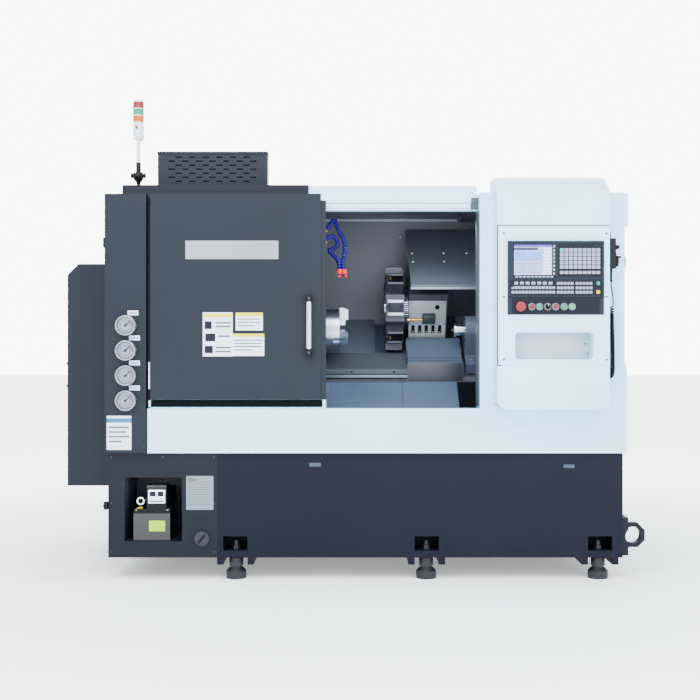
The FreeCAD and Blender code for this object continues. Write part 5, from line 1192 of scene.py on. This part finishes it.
def make_chamber():
    """Dark ceiling, wall screws, a lip and a rail ridge made lighter to paint their highlights, lighter
    sheets painting light on the chute and slope, seams and rail bolts inside the work area.
    """
    ceiling = [(-614, 1677), (-612, 1675), (-546, 1750), (344, 1750), (344, 1754), (-548, 1754)]
    single("chamber_ceiling", lambda bm: add_prism(bm, *[[(x, y, z) for y, z in ceiling]
        for x in (-160, 579)]), "guard", smooth=False)
    single("jamb_seal", block((577, -703, 783), (579.6, -561, 1671), 0.4), "guard")
    single("inner_ceiling", blocks(((579, -540, 1735), (690, 344, 1738), 0.4), ((578.2, -546, 1733),
        (579.8, 344, 1753), 0), ((-160, 334, 1738), (690, 344.8, 1755), 0)), "guard")
    # Lighter sheets laid on the chute, painting the light that falls on it, with a dark seam between them
    # and dark sheet at both ends.
    fall = Vector((0, 352.0, 287.0)).normalized()
    top = Vector((0, -303.4, 889.4))
    chute_top, chute_foot = (top - fall * 13).yz, (top - fall * 446).yz

    def laid_sheet(x0, x1, upper, lower, under, over):
        """A thin sheet lying on the slope from one (y, z) to the other, between two heights off it."""
        run = Vector((0, upper[0] - lower[0], upper[1] - lower[1])).normalized()
        off = Vector((0, -run.z, run.y))
        high, low = Vector((0, *upper)), Vector((0, *lower))
        corners = [high + off * under, high + off * over, low + off * over, low + off * under]
        return lambda bm: add_prism(bm, *[[(x, *corner.yz) for corner in corners] for x in (x0, x1)])
    # A lighter sheet laid on the slope paints it lit where it lies in shade.
    single("slope_sheet", laid_sheet(-158, 124.5, (341, 1204.5), (-40, 984.7), 0.05, 0.3), "slope",
        smooth=False)
    single("cover_front", block((276.5, -311.7, 886.5), (543.5, -311.05, 974.5), 0.2), "cover front",
        "carriage")
    for number, height in enumerate((0.54, 0.2, 0.1), 1):
        upper = (-311 + 204 * height, 976 + 122 * height)
        single(f"cover_fold_{number}", laid_sheet(277, 543, upper, (upper[0] - 3.4, upper[1] - 2.03), 0.1,
            0.7), "cover front", "carriage", smooth=False)
    for name, x0, x1, finish in (("sheet_left", -106, 246, "chute"), ("sheet_right", 249, 512, "chute"),
                                 ("end_left", -157, -106.5, "guard"), ("end_right", 513, 760, "seam")):
        single("chute_" + name, laid_sheet(x0, x1, chute_top, chute_foot, 0.3, 1.6), finish, smooth=False)
    single("rail_strip", block((-158, -306.2, 921), (274, -304.9, 945.5), 0.2), "bracket")
    # A lighter strip on the rail's edge paints its highlight.
    single("rail_ridge", block((-158, -307.4, 903), (274, -304.9, 917), 1), "ridge")
    single("rail_shadow", blocks(((-158, -305.6, 896.5), (274, -304.9, 902), 0), ((-158, -305.8, 917.6),
        (274, -304.9, 920.4), 0)), "seam", smooth=False)
    repeat("rail_bolts", dome_screw(5.5, 1.2), [(2.4, -306.2, 932), (208.6, -306.2, 932)], "oxide")
    # A lighter strip on the guard's fold paints its highlight.
    single("guard_lip", leaned_blocks(((289, 11.8, 218), (701, 14, 229), 0.8)), "lip", "carriage")
    repeat("guard_screws", dome_screw(5, 3), [leaned(x, 370, GUARD_TOP) for x in (311, 473, 591)]
        + [leaned(x, 270, GUARD_TOP) for x in (312, 468, 629)], "ring white", "carriage",
        facing=(SLANT, 0, 0))
    repeat("guard_wall_screws", socket_screw(5.5, 4), [leaned(x, 500, w) for x in (310, 440, 560, 680)
        for w in (120, 190)], "screw", "carriage", facing=(math.pi / 2 + SLANT, 0, 0))
    back_wall = 345
    repeat("wall_screws", dome_screw(5, 2.6), lattice((268, 272), back_wall, (1655, 1480)), "bright")
    repeat("side_wall_screws", dome_screw(6, 2.6), lattice(-160, (-600, -300, 200), (1600, 900)), "screw",
        facing="right")
    single("side_wall_seams", block((-160, -402, 1000), (-158.6, -399, 1655), 0.3), "seam")


def make_chuck():
    """The chuck's bore ring and mounting bolts, and the bolts and serrations of its jaws."""
    face = -57
    single("chuck_bore_ring", turned([(38, 0), (38, 1.2), (27, 1.6), (25, -6), (0, -6)], 40, toward(RIGHT,
        (face, *SPINDLE))), "silver", "spindle")
    repeat_ring("chuck_bolts", socket_screw(6, 2), (face, *SPINDLE), RIGHT, 6, 86, "oxide", "spindle")
    for number, angle in ((1, 0), (2, 120), (3, 240)):
        turn = Matrix.Rotation(math.radians(angle), 4, "X")

        def bolts(bm):
            for radius in (58, 84):
                place = at(-29, *SPINDLE) @ turn @ at(0, 0, radius)
                add_lathe(bm, [(8, 0), (8, 7), (7.2, 8), (4.4, 8), (4.4, 3), (0, 3)], 14,
                    place @ toward(RIGHT, (0, 0, 0)))

        def teeth(bm):
            for step in range(9):
                place = at(face, *SPINDLE) @ turn
                z = 40 + step * 7
                for side in (-1, 1):
                    add_block(bm, (0, side * 17.6 - 0.4, z), (5, side * 17.6 + 0.4, z + 3), 0, place)
        single(f"jaw_{number}_bolts", bolts, "oxide", f"jaw_{number}")
        single(f"jaw_{number}_teeth", teeth, "block", f"jaw_{number}", smooth=False)


def make_tailstock():
    """Wiper ring and bolts of the tailstock."""
    single("quill_wiper", turned([(20, 0), (24, 0), (26, 2), (26, 10), (24, 12), (20, 12)], 44, toward(LEFT,
        (560, *SPINDLE)), ring=True), "ring white", "tailstock")
    repeat_ring("wiper_bolts", socket_screw(4.5, 4), (560, *SPINDLE), LEFT, 6, 60, "oxide", "tailstock")
    repeat("tailstock_bolts", socket_screw(9, 9), [leaned(x, -120, -100) for x in (590, 640, 740, 790)],
        "screw", "tailstock", facing=(SLANT, 0, 0))


def hose_link(bm):
    """One link of the jointed hose: a ball end that sits in the next link's cup."""
    add_lathe(bm, [(5.4, -8), (8.4, -6.4), (10.8, -2.6), (11.2, 1.4), (9.6, 4), (5.8, 5), (5.2, 9), (0, 9)],
        14)


UPPER_HOSE = [(-130, -450, 1606), (-112, -450, 1614), (-94, -451, 1642), (-79, -452, 1660),
              (-69, -453, 1631), (-57, -454, 1598), (-36, -456, 1565), (-27, -458, 1531),
              (-31, -459, 1493), (-40, -460, 1451), (-36, -460, 1418), (-28, -460, 1396)]
LOWER_HOSE = [(-130, -450, 1552), (-114, -448, 1570), (-92, -440, 1581), (-68, -434, 1566),
              (-62, -432, 1536), (-84, -434, 1517), (-108, -440, 1514), (-96, -448, 1497),
              (-72, -456, 1478), (-56, -458, 1450), (-54, -459, 1418), (-55, -459, 1396)]


def make_hoses():
    """Jointed coolant hoses that hold their own bend, their nozzles and the block they start from."""
    for name, route in (("upper", UPPER_HOSE), ("lower", LOWER_HOSE)):
        part = part_object(hose_link)
        base = nurbs("hose_line", [[v * MM for v in point] for point in route], 0, 12)
        mesh = grow(TREES["links"], base, {"Part": part, "Pitch": 12.5 * MM, "Material": M["hose"]})
        bpy.data.objects.remove(part)
        finish_piece(mesh, name + "_hose", "hose", "root")
        end = route[-1]
        heading = (Vector(end) - Vector(route[-2])).normalized()
        single(name + "_nozzle", turned([(9, -26), (12.2, -24), (12.4, -10), (11, -2), (5.5, 14), (3, 14),
            (3, 4), (0, 4)], 18, toward(heading, end)), "nozzle")
        single(name + "_hose_nut", turned([(11, 0), (11, 8), (9, 11), (9, 16)], 6, toward(RIGHT, route[0])),
            "brass", smooth=False)
    body = single("hose_block", block((-160, -475, 1480), (-130, -425, 1645), 2.5), "block")
    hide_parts("coolant_hoses")


# --- putting it together ---------------------------------------------------------------------

def make_seams():
    """A darker line painting the shade at the apron's fold, gaps and screws of the white covers."""
    # The apron's fold is drawn as a darker white line: painted shade.
    single("apron_seam", block((228, FACE - 0.4, 580), (230, FACE + 0.2, 772)), "white cover fold shade", smooth=False)
    repeat("apron_screws", dome_screw(4, 1.4), lattice(range(-880, 1240, 235), FACE, 596), "white")
    repeat("housing_side_screws", dome_screw(5, 2), lattice(1232, (-680, -200, 300, 590), (1000, 1560)),
        "screw", facing="right")
    single("side_panel", block((1232, -500, 1000), (1235, 480, 1560), 1.4), "white")
    repeat("side_louvres", soft_box(7, 120, 6, 2.4), lattice(1235, (-300, -20, 260), range(1120, 1440, 40)),
        "white", facing=(0, math.pi / 2, 0))
    single("header_lines", blocks(((-190, -669.4, 1704.4), (538, -667, 1706.4), 0), ((-190, -668.8, 1681),
        (538, -667.4, 1682.6), 0)), "seam", smooth=False)
    single("header_bracket", blocks(((541, -671.4, 1675), (577, -668.2, 1704), 0.8), ((545, -671.4, 1700),
        (577, -655, 1730), 1.5)), "bracket")
    repeat("header_screws", dome_screw(4, 1.4), lattice(range(-150, 570, 175), -668, 1685), "white")


def make_floor():
    """A plain pale floor under the machine, wide enough to fill the view."""
    mesh = bpy.data.meshes.new("floor")
    bm = bmesh.new()
    bmesh.ops.create_grid(bm, x_segments=1, y_segments=1, size=40)
    bm.to_mesh(mesh)
    bm.free()
    floor = linked("floor", mesh)
    mesh.materials.append(M["floor"])


make_camera()
make_curly_cord()
light_studio()
TREES.update(repeat=repeat_tree(), ring=ring_tree(), links=link_tree())
for make in (make_door, make_column, make_base, make_tower, make_roof, make_back, make_controls,
             make_pendant, make_turret, make_slide, make_chamber, make_chuck, make_tailstock,
             make_hoses, make_seams, make_floor):
    make()
dress_frame()

bpy.context.view_layer.update()
